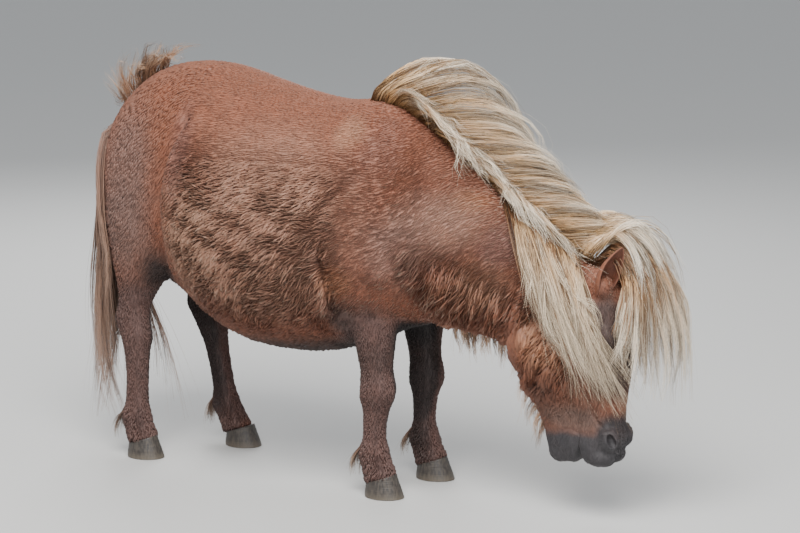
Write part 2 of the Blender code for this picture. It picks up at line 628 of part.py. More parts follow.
class Surface:
    """The body's surface, to lay hair on."""

    def __init__(self, objects):
        verts = []
        faces = []
        for obj in objects:
            start = len(verts)
            verts += [v.co.copy() for v in obj.data.vertices]
            faces += [tuple(start + i for i in p.vertices) for p in obj.data.polygons]
        self.tree = BVHTree.FromPolygons(verts, faces)

    def height(self, point):
        """The signed distance above the surface and its normal there."""
        near, normal, _, distance = self.tree.find_nearest(point)
        outside = (point - near).dot(normal) >= 0
        return (distance if outside else -distance), normal

    def lay(self, point, lift):
        """The point, moved out to at least the lift above the surface, and the normal."""
        height, normal = self.height(point)
        if -DEEPEST < height < lift:
            point = point + normal * (lift - height)
        return point, normal

    def top(self, x):
        """The height of the top line over a place on the middle plane."""
        hit, _, _, _ = self.tree.ray_cast(Vector((x, 0, 3)), Vector((0, 0, -1)))
        return hit


def curve_points(controls, count):
    """Evenly numbered points of the Catmull-Rom curve through the controls."""
    fine = smooth_rows(controls, 8)
    place = np.linspace(0, len(fine) - 1, count)
    low = np.minimum(place.astype(int), len(fine) - 2)
    share = (place - low)[:, None]
    return fine[low] * (1 - share) + fine[low + 1] * share


def blend_guides(guides, share):
    """The controls of a lock that lies between guides, share running from first to last."""
    place = share * (len(guides) - 1)
    i = min(int(place), len(guides) - 2)
    t = place - i
    return np.asarray(guides[i], float) * (1 - t) + np.asarray(guides[i + 1], float) * t


def lock_object(controls, surface, clump, chance, rings=7):
    """One flat lock, tapered to its tip, or none where it would cross itself however narrow."""
    path = curve_points(controls, rings + 1)
    length = np.linalg.norm(np.diff(path, axis=0), axis=1).sum()
    phase = chance.uniform(0, 6.28)
    wave = clump.spread * chance.uniform(0.3, 0.7)
    points = []
    normals = []
    for i, row in enumerate(path):
        point = Vector(row)
        if i / rings > 0.2:
            point, normal = surface.lay(point, clump.lift + clump.thick * 0.5)
        else:
            _, normal = surface.height(point)
        if clump.hub is not None:
            normal = (point - nearest_on_line(clump.hub, point)).normalized()
        points.append(point)
        normals.append(normal)
    points, normals = evened(points), evened(normals)
    middles = []
    frames = []
    for i in range(rings):
        share = i / rings
        along = (points[i + 1] - points[max(i - 1, 0)]).normalized()
        across = along.cross(normals[i]).normalized()
        sway = across * (wave * math.sin(phase + share * length * 16) * share)
        middles.append(points[i] + sway)
        frames.append((across, across.cross(along).normalized()))
    width = clump.width
    lock = lock_mesh(middles, frames, points[-1], width, clump)
    while crosses_itself(lock):
        bpy.data.objects.remove(lock)
        width *= 0.8
        if width < clump.width * LEAST_WIDTH:
            return None
        lock = lock_mesh(middles, frames, points[-1], width, clump)
    return lock


def evened(vectors):
    """The vectors, each drawn towards its two neighbours."""
    inner = [(a + b * 2 + c) / 4 for a, b, c in zip(vectors, vectors[1:], vectors[2:])]
    return [vectors[0]] + inner + [vectors[-1]]


def crosses_itself(obj):
    """Whether two faces that share no point pass through each other."""
    verts = [v.co for v in obj.data.vertices]
    faces = []
    for face in obj.data.polygons:
        first, *others = face.vertices
        faces += [(first, a, b) for a, b in zip(others, others[1:])]
    tree = BVHTree.FromPolygons(verts, faces)
    return any(not set(faces[a]) & set(faces[b]) for a, b in tree.overlap(tree))


def lock_mesh(middles, frames, tip, width, clump):
    """The closed mesh of a lock: four corners on each ring and a tip."""
    rings = len(middles)
    verts = []
    for i, (middle, (across, out)) in enumerate(zip(middles, frames)):
        share = i / rings
        full = (0.55 + 0.45 * math.sin(math.pi * min(1, share * 1.6))) * (1 - share ** 3) ** 0.5
        half_thick = clump.thick / 2 * (1 - 0.5 * share)
        edge = across * (width / 2 * max(full, 0.25)) + out * (clump.tilt * half_thick)
        verts += [middle + edge, middle + out * half_thick, middle - edge,
                  middle - out * half_thick]
    verts.append(tip)
    faces = [(3, 2, 1, 0)]
    for r in range(rings - 1):
        for k in range(4):
            a, b = r * 4 + k, r * 4 + (k + 1) % 4
            faces.append((a, b, b + 4, a + 4))
    last = (rings - 1) * 4
    faces += [(last + k, last + (k + 1) % 4, rings * 4) for k in range(4)]
    obj = new_object("lock", verts, faces)
    edit_mesh(obj, lambda edit: bmesh.ops.triangulate(edit, faces=edit.faces))
    edit_mesh(obj, lambda edit: bmesh.ops.recalc_face_normals(edit, faces=edit.faces))
    return obj


def nearest_on_line(line, point):
    """The nearest point of a line of points."""
    best = None
    for a, b in zip(line, line[1:]):
        a, b = Vector(a), Vector(b)
        share = min(max((point - a).dot(b - a) / (b - a).length_squared, 0), 1)
        near = a + (b - a) * share
        if best is None or (near - point).length < (best - point).length:
            best = near
    return best


def clump_locks(clump, surface, chance, rings=7):
    """All the locks of a clump, spread evenly over its guides with some chance in each."""
    made = []
    for i in range(clump.count):
        share = (i + 0.5 + chance.uniform(-0.22, 0.22)) / clump.count
        controls = blend_guides(clump.guides, min(max(share, 0), 1))
        steps = np.linspace(0, 1, len(controls))[:, None]
        shift = np.array([chance.uniform(-1, 1) for _ in range(3)]) * clump.spread
        controls = controls + shift * steps
        reach = chance.uniform(0.86, 1.0)
        controls = curve_points(controls, 17)[:max(4, round(17 * reach))]
        own = clump._replace(width=clump.width * chance.uniform(0.75, 1.2),
                             lift=clump.lift + chance.uniform(0, 0.4) * clump.thick)
        made.append(lock_object(controls[:: 2], surface, own, chance, rings))
    return [lock for lock in made if lock]


def tube(name, path):
    """A closed bar in the middle plane: its points, half thicknesses and half widths."""
    rows = smooth_rows([(x, z, thick, wide) for (x, z), thick, wide in path], 2)
    angle = np.linspace(0, 2 * math.pi, 10, endpoint=False)
    slope = np.gradient(rows[:, :2], axis=0)
    slope /= np.linalg.norm(slope, axis=1)[:, None]
    rings = []
    for (x, z, thick, wide), (dx, dz) in zip(rows, slope):
        rings.append(np.stack([x - dz * thick * np.cos(angle), wide * np.sin(angle),
                               z + dx * thick * np.cos(angle)], 1))
    return loft_object(name, rings)


def crest_point(surface, share):
    """A point of the neck's top line and its direction there, from withers (0) to poll (1)."""
    start, end = CREST_ENDS
    x = start + (end - start) * share
    step = 0.012
    back, front = surface.top(x - step), surface.top(x + step)
    return (back + front) / 2, (front - back).normalized()


def roll_guides(surface):
    """Locks of the mane that stand up from the crest and fall over to the far side."""
    guides = []
    for share in np.linspace(0, 1, 7):
        point, along = crest_point(surface, share)
        up = Vector((-along.z, 0, along.x))
        high = 0.118 - 0.040 * share
        steps = [(0.06, -0.005, 0.000), (0.55, 0.012, -0.012), (0.97, 0.050, 0.026),
                 (0.95, 0.105, 0.075), (0.45, 0.165, 0.118), (-0.35, 0.210, 0.135),
                 (-1.10, 0.235, 0.140)]
        reach = 1 - 0.6 * share ** 2
        guides.append([tuple(point + up * (high * lift) + along * (ahead * reach)
                             + Vector((0, y, 0))) for lift, ahead, y in steps])
    return guides


def roll_hub(surface):
    """The line inside the mane's roll, above and beside the crest."""
    hub = []
    for share in np.linspace(-0.1, 1.1, 7):
        point, along = crest_point(surface, share)
        hub.append(point + Vector((-along.z, 0.045, along.x)) * Vector((0.045, 1, 0.045)))
    return hub


def crest_core(surface):
    """The ridge of short hair along the neck's top line that the mane's locks spring from."""
    path = []
    for share in np.linspace(-0.01, 1.0, 9):
        point, _ = crest_point(surface, share)
        full = 0.5 + 0.5 * math.sin(math.pi * min(max(share, 0), 1))
        path.append(((point.x, point.z + 0.006), 0.014 + 0.010 * full, 0.014 + 0.008 * full))
    return tube("mane", path)


def mirrored(guides):
    """The guides on the other side of the middle plane."""
    return [[(x, -y, z) for x, y, z in guide] for guide in guides]


def shifted(guides, stance):
    """A leg's guides at the place where it stands."""
    ahead = [stance.x + stance.ahead * (1 - z / HOCK_HEIGHT) for _, _, z in guides[1]]
    return [[(x + far, stance.side * (stance.track + y), z)
             for (x, y, z), far in zip(guide, ahead)] for guide in guides]


def add_long_coat(nodes):
    """Locks of the jaw, throat, breast and fetlocks, joined to the nodes that they grow from."""
    surface = Surface([nodes[name] for name in ("head", "neck", "torso")])
    chance = random.Random(SEED + 1)
    for name, guides in (("head", JAW_HAIR), ("neck", THROAT_HAIR), ("torso", BREAST_HAIR)):
        locks = []
        for half in (guides, mirrored(guides)):
            clump = Clump(half, BEARD_LOCKS, 0.030, 0.008, 0.008, None, -0.006)
            locks += clump_locks(clump, surface, chance, 4)
        nodes[name] = unite(name, [nodes[name]] + locks)
    for name, stance in LEGS.items():
        leg = nodes[f"leg_{name}"]
        clump = Clump(shifted(FEATHERS, stance), FEATHER_LOCKS, 0.026, 0.007, 0.004, None, -0.006)
        locks = clump_locks(clump, Surface([leg]), chance, 3)
        nodes[f"leg_{name}"] = unite(f"leg_{name}", [leg] + locks)
    for first, second in (("head", "neck"), ("neck", "torso"), ("torso", "neck")):
        cut(nodes[first], grown(nodes[second], HAIR_GAP), "DIFFERENCE", "MANIFOLD")


def hair_nodes(nodes, surface):
    """Mane, forelock and tail over the finished body."""
    chance = random.Random(MANE_SEED)
    roll = Clump(roll_guides(surface), ROLL_LOCKS, 0.052, 0.009, 0.005, roll_hub(surface))
    locks = clump_locks(roll, surface, chance, 6)
    locks += clump_locks(Clump(NEAR_FALL, FALL_LOCKS, 0.036, 0.008, 0.005), surface, chance, 6)
    mane = unite("mane", [crest_core(surface)] + locks)
    poll = tube("forelock", [((0.560, 0.612), 0.010, 0.016), ((0.585, 0.600), 0.014, 0.020),
                             ((0.606, 0.578), 0.010, 0.016)])
    chance = random.Random(FORELOCK_SEED)
    locks = clump_locks(Clump(FORELOCK, FORELOCK_LOCKS, 0.027, 0.007, 0.004), surface, chance, 6)
    forelock = unite("forelock", [poll] + locks)
    chance = random.Random(TAIL_SEED)
    fan = Clump(TAIL, TAIL_LOCKS, 0.034, 0.009, 0.008, TAIL_HUB)
    locks = clump_locks(fan, surface, chance, 7)
    locks += clump_locks(Clump(TAIL_INNER, 4, 0.016, 0.006, 0.008), surface, chance, 7)
    locks += clump_locks(Clump(TAIL_HEAD, 9, 0.012, 0.005, 0.012), surface, chance, 3)
    tail = unite("tail", [tube("tail", DOCK)] + locks)
    solids = [obj for name, obj in nodes.items() if name.split("_")[0] in ("head", "neck", "torso")]
    for hair in (mane, forelock, tail):
        for solid in solids:
            cut(hair, grown(solid, GAP), "DIFFERENCE", "MANIFOLD")
    for label in ("left", "right"):
        for hair in (mane, forelock):
            cut(hair, grown(nodes[f"ear_{label}"], GAP), "DIFFERENCE", "MANIFOLD")
        cut(tail, grown(nodes[f"leg_hind_{label}"], GAP), "DIFFERENCE", "MANIFOLD")
    cut(forelock, grown(mane, GAP), "DIFFERENCE", "MANIFOLD")
    return {"mane": mane, "forelock": forelock, "tail": tail}


def materials():
    """The colours of the parts, by name."""
    colours = {
        "coat": ((0.20, 0.085, 0.045, 1), 0.75),
        "mane_hair": ((0.62, 0.47, 0.30, 1), 0.60),
        "tail_hair": ((0.28, 0.17, 0.10, 1), 0.65),
        "hoof_horn": ((0.055, 0.048, 0.042, 1), 0.45),
        "eye_wet": ((0.018, 0.010, 0.007, 1), 0.08),
    }
    made = {}
    for name, (colour, roughness) in colours.items():
        material = bpy.data.materials.new(name)
        material.use_nodes = True
        shader = material.node_tree.nodes["Principled BSDF"]
        shader.inputs["Base Color"].default_value = colour
        shader.inputs["Roughness"].default_value = roughness
        made[name] = material
    return made


def finish(obj, material):
    """Gives the object its material on every face."""
    obj.data.materials.clear()
    obj.data.materials.append(material)
    for face in obj.data.polygons:
        face.material_index = 0


def centre_on_floor():
    """Moves all pieces so that the middle of their box is over the origin."""
    corners = np.array([v.co for obj in bpy.data.objects for v in obj.data.vertices])
    middle = (corners.min(0) + corners.max(0)) / 2
    shift = Matrix.Translation((-middle[0], -middle[1], 0))
    for obj in bpy.data.objects:
        obj.data.transform(shift)


def main():
    clear_scene()
    look = materials()
    body = whole_body()
    nodes = {}
    for name, stance in LEGS.items():
        planes = FORE_PLANES if stance.sections is FORE_LEG else HIND_PLANES
        leg = part_off(body, f"leg_{name}", planes, stance.side)
        cut(leg, wedge(coronet_planes(stance), 1, GAP))
        nodes[f"leg_{name}"] = leg
        nodes[f"hoof_{name}"] = hoof_object(f"hoof_{name}", stance)
    head = part_off(body, "head", HEAD_PLANES)
    nodes["neck"] = part_off(body, "neck", NECK_PLANES)
    nodes["torso"] = body
    body.name = "torso"
    nodes["head"] = add_face(head)
    for side, label in ((-1, "right"), (1, "left")):
        ear = ear_object(f"ear_{label}", side)
        nodes[f"ear_{label}"] = cut(ear, grown(nodes["head"], GAP))
        ball = Muscle(tuple(EYE), (EYE_RADIUS,) * 3)
        nodes[f"eye_{label}"] = ellipsoid(f"eye_{label}", ball, side, 0.0, 2)
    surface = Surface(nodes.values())
    add_long_coat(nodes)
    nodes.update(hair_nodes(nodes, surface))
    slots = {"hoof": "hoof_horn", "eye": "eye_wet", "mane": "mane_hair", "forelock": "mane_hair",
             "tail": "tail_hair"}
    for name, obj in nodes.items():
        slot = slots.get(name.split("_")[0], "coat")
        finish(obj, look[slot])
    centre_on_floor()


main()
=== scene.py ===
"""The looks of a grazing Shetland pony: hide, coat, mane, forelock, tail, eyes and hooves.

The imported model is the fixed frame. Shapes are worked out in the pony's own frame: +X forward,
+Y its left side, Z = 0 under the soles and X = 0 under the fore legs. The place of the right fore
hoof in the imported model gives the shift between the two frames. The near side is the right one,
which faces the camera. All lengths are in metres, and colours are linear.
"""

import json
import logging
import math
from collections.abc import Callable
from dataclasses import dataclass, field
from enum import Enum, IntEnum

import bmesh
import bpy
import numpy as np
from bpy.types import Collection, Material, Mesh, Node, NodeSocket, NodeTree, Object
from mathutils import Matrix, Vector
from mathutils.bvhtree import BVHTree

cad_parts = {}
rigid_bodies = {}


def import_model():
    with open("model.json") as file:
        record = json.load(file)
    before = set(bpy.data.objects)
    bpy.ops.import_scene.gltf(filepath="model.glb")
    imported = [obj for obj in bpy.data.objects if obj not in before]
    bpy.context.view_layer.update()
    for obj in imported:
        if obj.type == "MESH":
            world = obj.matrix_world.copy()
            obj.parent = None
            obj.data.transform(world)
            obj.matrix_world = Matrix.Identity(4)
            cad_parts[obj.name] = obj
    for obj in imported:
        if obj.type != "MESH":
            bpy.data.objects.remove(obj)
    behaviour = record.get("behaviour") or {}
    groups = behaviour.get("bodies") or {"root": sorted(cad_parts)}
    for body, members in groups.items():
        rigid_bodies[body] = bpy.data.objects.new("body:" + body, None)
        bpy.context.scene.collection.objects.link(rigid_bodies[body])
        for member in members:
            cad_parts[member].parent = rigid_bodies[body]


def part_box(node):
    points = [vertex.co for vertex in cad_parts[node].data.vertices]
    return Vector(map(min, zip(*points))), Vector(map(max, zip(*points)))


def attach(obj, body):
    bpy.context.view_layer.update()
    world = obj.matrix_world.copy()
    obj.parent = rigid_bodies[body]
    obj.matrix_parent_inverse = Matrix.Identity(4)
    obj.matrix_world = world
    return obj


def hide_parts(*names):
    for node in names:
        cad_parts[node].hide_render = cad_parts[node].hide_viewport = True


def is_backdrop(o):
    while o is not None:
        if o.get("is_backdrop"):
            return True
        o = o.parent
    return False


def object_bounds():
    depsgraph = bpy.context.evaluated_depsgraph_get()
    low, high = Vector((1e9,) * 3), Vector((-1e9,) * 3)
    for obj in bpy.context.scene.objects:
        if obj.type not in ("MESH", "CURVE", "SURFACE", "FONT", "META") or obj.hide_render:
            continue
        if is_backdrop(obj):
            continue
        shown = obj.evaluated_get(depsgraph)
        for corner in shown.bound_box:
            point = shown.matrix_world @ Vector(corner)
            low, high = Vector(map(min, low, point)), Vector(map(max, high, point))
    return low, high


LOG = logging.getLogger("pony")
BODY = "root"
BAKE_PATCH = 0.003          # side of a tuft's or strand's patch on the bake map
BAKE_EDGE = 0.01            # margin of the bake map
FORE_TRACK = 0.105          # a fore leg's distance from the middle plane
HIND_TRACK = 0.115
HOOF_MIDDLE_X = 0.028       # middle of the right fore hoof's box in the pony's frame
SPLINE_STEPS = 4            # rings that a loft makes between two sections
TINY = 1e-6                 # least length that a direction is divided by
EYE_RADIUS = 0.0165
EYE_CENTRE = (0.592, 0.0665, 0.452)
EYE_AHEAD = 0.003           # how far the pupil looks ahead
EAR_ROOT = (0.578, 0.048, 0.556)
TUFT_DENSITY = 90000.0      # most points a square metre that tufts are chosen from
TUFT_LENGTHS = (0.7, 1.3)   # a tuft's least and largest share of the coat's length
TUFT_HEIGHT = (3.2, 0.22)   # a tuft's height as a share of its length: by its lift, and more
TUFT_BENDS = ((0.02, 0.0), (0.07, 0.10), (0.04, -0.12), (0.10, 0.04), (-0.03, -0.06),
              (0.06, 0.16))  # droop and turn of the tip in each kind of tuft
SIDES = 3                   # sides of a tuft and of a strand
GUIDE_POINTS = 25
WILD_FLING = 0.030          # how far a wild strand's tip is flung, and a tame one's
TAME_FLING = 0.005
STRAND_HEIGHT = 0.0015      # least height of a strand over the hide
SEARCH = 0.12               # how far from the hide hair is laid on it
DEEPEST = 0.06              # points further inside the hide are left there
PAST_BOX = 0.35             # share of the way past the model's box that hair keeps


class Side(IntEnum):
    """A side of the pony, as the sign of its Y."""

    RIGHT = -1
    LEFT = 1


class Cut(Enum):
    """What a Boolean does with its tool."""

    JOIN = "UNION"
    TAKE = "DIFFERENCE"


EAR_TIPS = {Side.RIGHT: (0.634, -0.062, 0.662), Side.LEFT: (0.606, 0.112, 0.646)}


def model_shift() -> Vector:
    """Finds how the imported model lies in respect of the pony's own frame.

    Returns:
        The vector from the pony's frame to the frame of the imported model.
    """
    low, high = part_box("hoof_fore_right")
    middle = (low + high) / 2
    return Vector((middle.x - HOOF_MIDDLE_X, middle.y + FORE_TRACK, 0.0))


def place_object(name: str, data: bpy.types.ID) -> Object:
    """Makes an object of a mesh, light or camera, links it to the scene and returns it."""
    obj = bpy.data.objects.new(name, data)
    bpy.context.scene.collection.objects.link(obj)
    return obj


def mesh_object(name: str, verts: np.ndarray, faces: list) -> Object:
    """Makes a mesh object and links it to the scene.

    Args:
        name: Name of the object and its mesh.
        verts: Points as rows of three numbers.
        faces: Faces as lists of point numbers.

    Returns:
        The new object.
    """
    mesh = bpy.data.meshes.new(name)
    mesh.from_pydata([tuple(v) for v in verts], [], faces)
    mesh.update()
    return place_object(name, mesh)


def edit(obj: Object, change: Callable[[bmesh.types.BMesh], None]) -> None:
    """Runs a change on an object's mesh as a bmesh.

    Args:
        obj: The object to change.
        change: A function that takes the bmesh.
    """
    work = bmesh.new()
    work.from_mesh(obj.data)
    change(work)
    work.to_mesh(obj.data)
    work.free()


def turn_out(work: bmesh.types.BMesh) -> None:
    """Points the faces of a bmesh outwards."""
    bmesh.ops.recalc_face_normals(work, faces=work.faces)


def shade_smooth(obj: Object) -> None:
    """Shades every face of an object smoothly."""
    obj.data.polygons.foreach_set("use_smooth", [True] * len(obj.data.polygons))


def settle(obj: Object) -> None:
    """Makes an object's evaluated mesh its own and clears its modifiers."""
    graph = bpy.context.evaluated_depsgraph_get()
    mesh = bpy.data.meshes.new_from_object(obj.evaluated_get(graph))
    obj.modifiers.clear()
    old = obj.data
    obj.data = mesh
    bpy.data.meshes.remove(old)


def points_of(obj: Object) -> np.ndarray:
    """Returns the object's points as rows of three numbers."""
    flat = np.empty(len(obj.data.vertices) * 3)
    obj.data.vertices.foreach_get("co", flat)
    return flat.reshape(-1, 3)


def normals_of(obj: Object) -> np.ndarray:
    """Returns the normals at the object's points."""
    flat = np.empty(len(obj.data.vertices) * 3)
    obj.data.vertex_normals.foreach_get("vector", flat)
    return flat.reshape(-1, 3)


def triangles_of(obj: Object) -> int:
    """Counts the object's triangles."""
    obj.data.calc_loop_triangles()
    return len(obj.data.loop_triangles)


def put_attribute(mesh: Mesh, name: str, values: np.ndarray) -> None:
    """Stores numbers or vectors on a mesh's points.

    Args:
        mesh: The mesh.
        name: The attribute's name.
        values: One number or one row of three for each point.
    """
    kind, key = ("FLOAT_VECTOR", "vector") if values.ndim == 2 else ("FLOAT", "value")
    layer = mesh.attributes.new(name, kind, "POINT")
    layer.data.foreach_set(key, values.ravel())


def weigh(obj: Object, name: str, weight: np.ndarray) -> None:
    """Puts an object's points in a new vertex group.

    Args:
        obj: The object.
        name: The group's name.
        weight: One of a few weights for each point.
    """
    group = obj.vertex_groups.new(name=name)
    for value in np.unique(weight):
        group.add([int(i) for i in np.nonzero(weight == value)[0]], float(value), "REPLACE")


def smooth_step(value: np.ndarray, low: float, high: float) -> np.ndarray:
    """Runs smoothly from 0 at the low value to 1 at the high one.

    Args:
        value: Numbers to map.
        low: Where the step starts.
        high: Where it ends; it may be below the start.

    Returns:
        The mapped numbers.
    """
    share = np.clip((value - low) / (high - low), 0.0, 1.0)
    return share * share * (3 - 2 * share)


def layered(base: np.ndarray, layers: tuple) -> np.ndarray:
    """Lays values over a base, each by its mask.

    Args:
        base: One number or row for each point.
        layers: Pairs of a mask and the number or row that it lays on.

    Returns:
        The mixed numbers or rows.
    """
    for mask, value in layers:
        share = mask if base.ndim == 1 else mask[:, None]
        base = base * (1 - share) + np.array(value) * share
    return base


def unit(rows: np.ndarray) -> np.ndarray:
    """Returns rows with the length of each made 1."""
    return rows / np.maximum(np.linalg.norm(rows, axis=1), TINY)[:, None]


def square_to(rows: np.ndarray, axes: np.ndarray) -> np.ndarray:
    """Returns rows of length 1 that are turned square to their axes."""
    return unit(rows - axes * (rows * axes).sum(1)[:, None])


def spline_rows(rows: list, steps: int) -> np.ndarray:
    """Puts Catmull-Rom rows between rows of numbers.

    Args:
        rows: The control rows.
        steps: How many rows run from one control to the next.

    Returns:
        All rows, the first and last control included.
    """
    rows = np.asarray(rows, float)
    padded = np.vstack([2 * rows[0] - rows[1], rows, 2 * rows[-1] - rows[-2]])
    made = []
    for i in range(len(rows) - 1):
        a, b, c, d = padded[i:i + 4]
        for t in np.arange(steps) / steps:
            made.append(0.5 * (2 * b + (c - a) * t + (2 * a - 5 * b + 4 * c - d) * t ** 2
                               + (3 * b - a - 3 * c + d) * t ** 3))
    made.append(rows[-1])
    return np.array(made)


def resample(path: np.ndarray, count: int) -> np.ndarray:
    """Spreads points evenly, by length, over a path.

    Args:
        path: The path's points.
        count: How many points to make.

    Returns:
        The new points.
    """
    length = np.concatenate([[0], np.cumsum(np.linalg.norm(np.diff(path, axis=0), axis=1))])
    place = np.linspace(0, length[-1], count)
    return np.stack([np.interp(place, length, path[:, k]) for k in range(path.shape[1])], 1)


# ---------------------------------------------------------------- node building


class Graph:
    """A small helper that adds nodes to a node tree and links them."""

    def __init__(self, tree: NodeTree) -> None:
        """Keeps the tree to build in."""
        self.tree = tree

    def add(self, kind: str, settings: dict | None = None, **inputs) -> Node:
        """Adds a node.

        Args:
            kind: The node's type name.
            settings: Properties to set on it.
            **inputs: Values or output sockets for its inputs, by name with _ for a space.

        Returns:
            The node.
        """
        node = self.tree.nodes.new(kind)
        for key, value in (settings or {}).items():
            setattr(node, key, value)
        self.fill(node, **inputs)
        return node

    def fill(self, node: Node, **inputs) -> None:
        """Links or sets a node's inputs, given by name with _ for a space."""
        for key, value in inputs.items():
            self.feed(node.inputs[key.replace("_", " ")], value)

    def feed(self, socket: NodeSocket, value) -> None:
        """Links an input to an output socket, or sets it to a plain value."""
        if isinstance(value, NodeSocket):
            self.tree.links.new(value, socket)
        else:
            socket.default_value = value

    def math(self, operation: str, *values) -> NodeSocket:
        """Adds a Math node with its operands and returns the result's socket."""
        node = self.add("ShaderNodeMath", {"operation": operation})
        for socket, value in zip(node.inputs, values):
            self.feed(socket, value)
        return node.outputs[0]

    def vector(self, operation: str, *values) -> NodeSocket:
        """Adds a Vector Math node with its operands and returns the result's socket."""
        node = self.add("ShaderNodeVectorMath", {"operation": operation})
        for socket, value in zip(node.inputs, values):
            self.feed(socket, value)
        return node.outputs["Value" if operation == "LENGTH" else "Vector"]

    def scaled(self, value, factor) -> NodeSocket:
        """Multiplies a vector or colour by a number and returns the result's socket."""
        made = self.vector("SCALE", value)
        self.fill(made.node, Scale=factor)
        return made

    def mix(self, factor, first, second, blend: str = "MIX") -> NodeSocket:
        """Mixes two colours.

        Args:
            factor: The share of the second.
            first: The first colour or socket.
            second: The second colour or socket.
            blend: The blend type.

        Returns:
            The colour's socket.
        """
        node = self.add("ShaderNodeMix", {"data_type": "RGBA", "blend_type": blend})
        for number, value in ((0, factor), (6, first), (7, second)):
            self.feed(node.inputs[number], value)
        return node.outputs[2]

    def tinted(self, colour, tint: tuple) -> NodeSocket:
        """Multiplies a colour's socket by a tint and returns the result's socket."""
        return self.mix(1.0, colour, rgba(tint), "MULTIPLY")

    def span(self, value, low: float, high: float, to_low: float = 0.0,
             to_high: float = 1.0) -> NodeSocket:
        """Maps a range smoothly to another.

        Args:
            value: The input socket.
            low: Where the range starts.
            high: Where it ends.
            to_low: The result at the start.
            to_high: The result at the end.

        Returns:
            The result's socket.
        """
        node = self.add("ShaderNodeMapRange", {"interpolation_type": "SMOOTHSTEP"})
        for socket, number in zip(node.inputs, (value, low, high, to_low, to_high)):
            self.feed(socket, number)
        return node.outputs[0]

    def noise(self, place, scale: float, detail: float = 2.0) -> NodeSocket:
        """Adds a noise texture at a place's socket and returns its value's socket."""
        node = self.add("ShaderNodeTexNoise", None, Vector=place, Scale=scale, Detail=detail)
        return node.outputs["Fac"]

    def grain(self, place, stretch: tuple, detail: float) -> NodeSocket:
        """Adds noise that is finer along some axes than others and returns its socket."""
        return self.noise(self.vector("MULTIPLY", place, stretch), 1.0, detail)

    def attribute(self, name: str, output: str = "Fac") -> NodeSocket:
        """Adds a node that reads an attribute in a material, and returns its output's socket."""
        return self.add("ShaderNodeAttribute", {"attribute_name": name}).outputs[output]

    def bump(self, height, strength: float, distance: float) -> NodeSocket:
        """Adds a Bump node of a strength and height and returns the normal's socket."""
        return self.add("ShaderNodeBump", None, Height=height, Strength=strength,
                        Distance=distance).outputs[0]


def rgba(colour: tuple) -> tuple:
    """Returns the colour with an alpha of 1."""
    return (*colour, 1.0)


@dataclass(frozen=True)
class Patch:
    """A soft patch on the coat, the same on both sides; most are the coat's own colour, some are
    painted shade and one is a painted sheen highlight.

    Attributes:
        centre: X, distance from the middle plane and Z.
        radii: Where it ends along each axis.
        colour: Its linear colour.
        strength: Its share over what lies below it.
        core: The share of the radii where it starts to fade.
    """

    centre: tuple
    radii: tuple
    colour: tuple
    strength: float = 0.8
    core: float = 0.25


CHESTNUT = (0.220, 0.080, 0.043)
LIVER = (0.105, 0.058, 0.050)
TAN = (0.420, 0.240, 0.150)
# Painted shade: near-black for the shade between the legs and at the stifle.
PAINTED_SHADE_BLACK = (0.012, 0.008, 0.008)
SLATE = (0.034, 0.031, 0.034)
ORANGE = (0.360, 0.150, 0.060)
# Painted sheen highlight for the border of the thigh.
PAINTED_SHEEN_PURPLE = (0.235, 0.125, 0.110)
# Painted shade: dark brown for the shade under the belly, behind the elbow and on the face under
# the forelock.
PAINTED_SHADE_UMBER = (0.040, 0.022, 0.018)
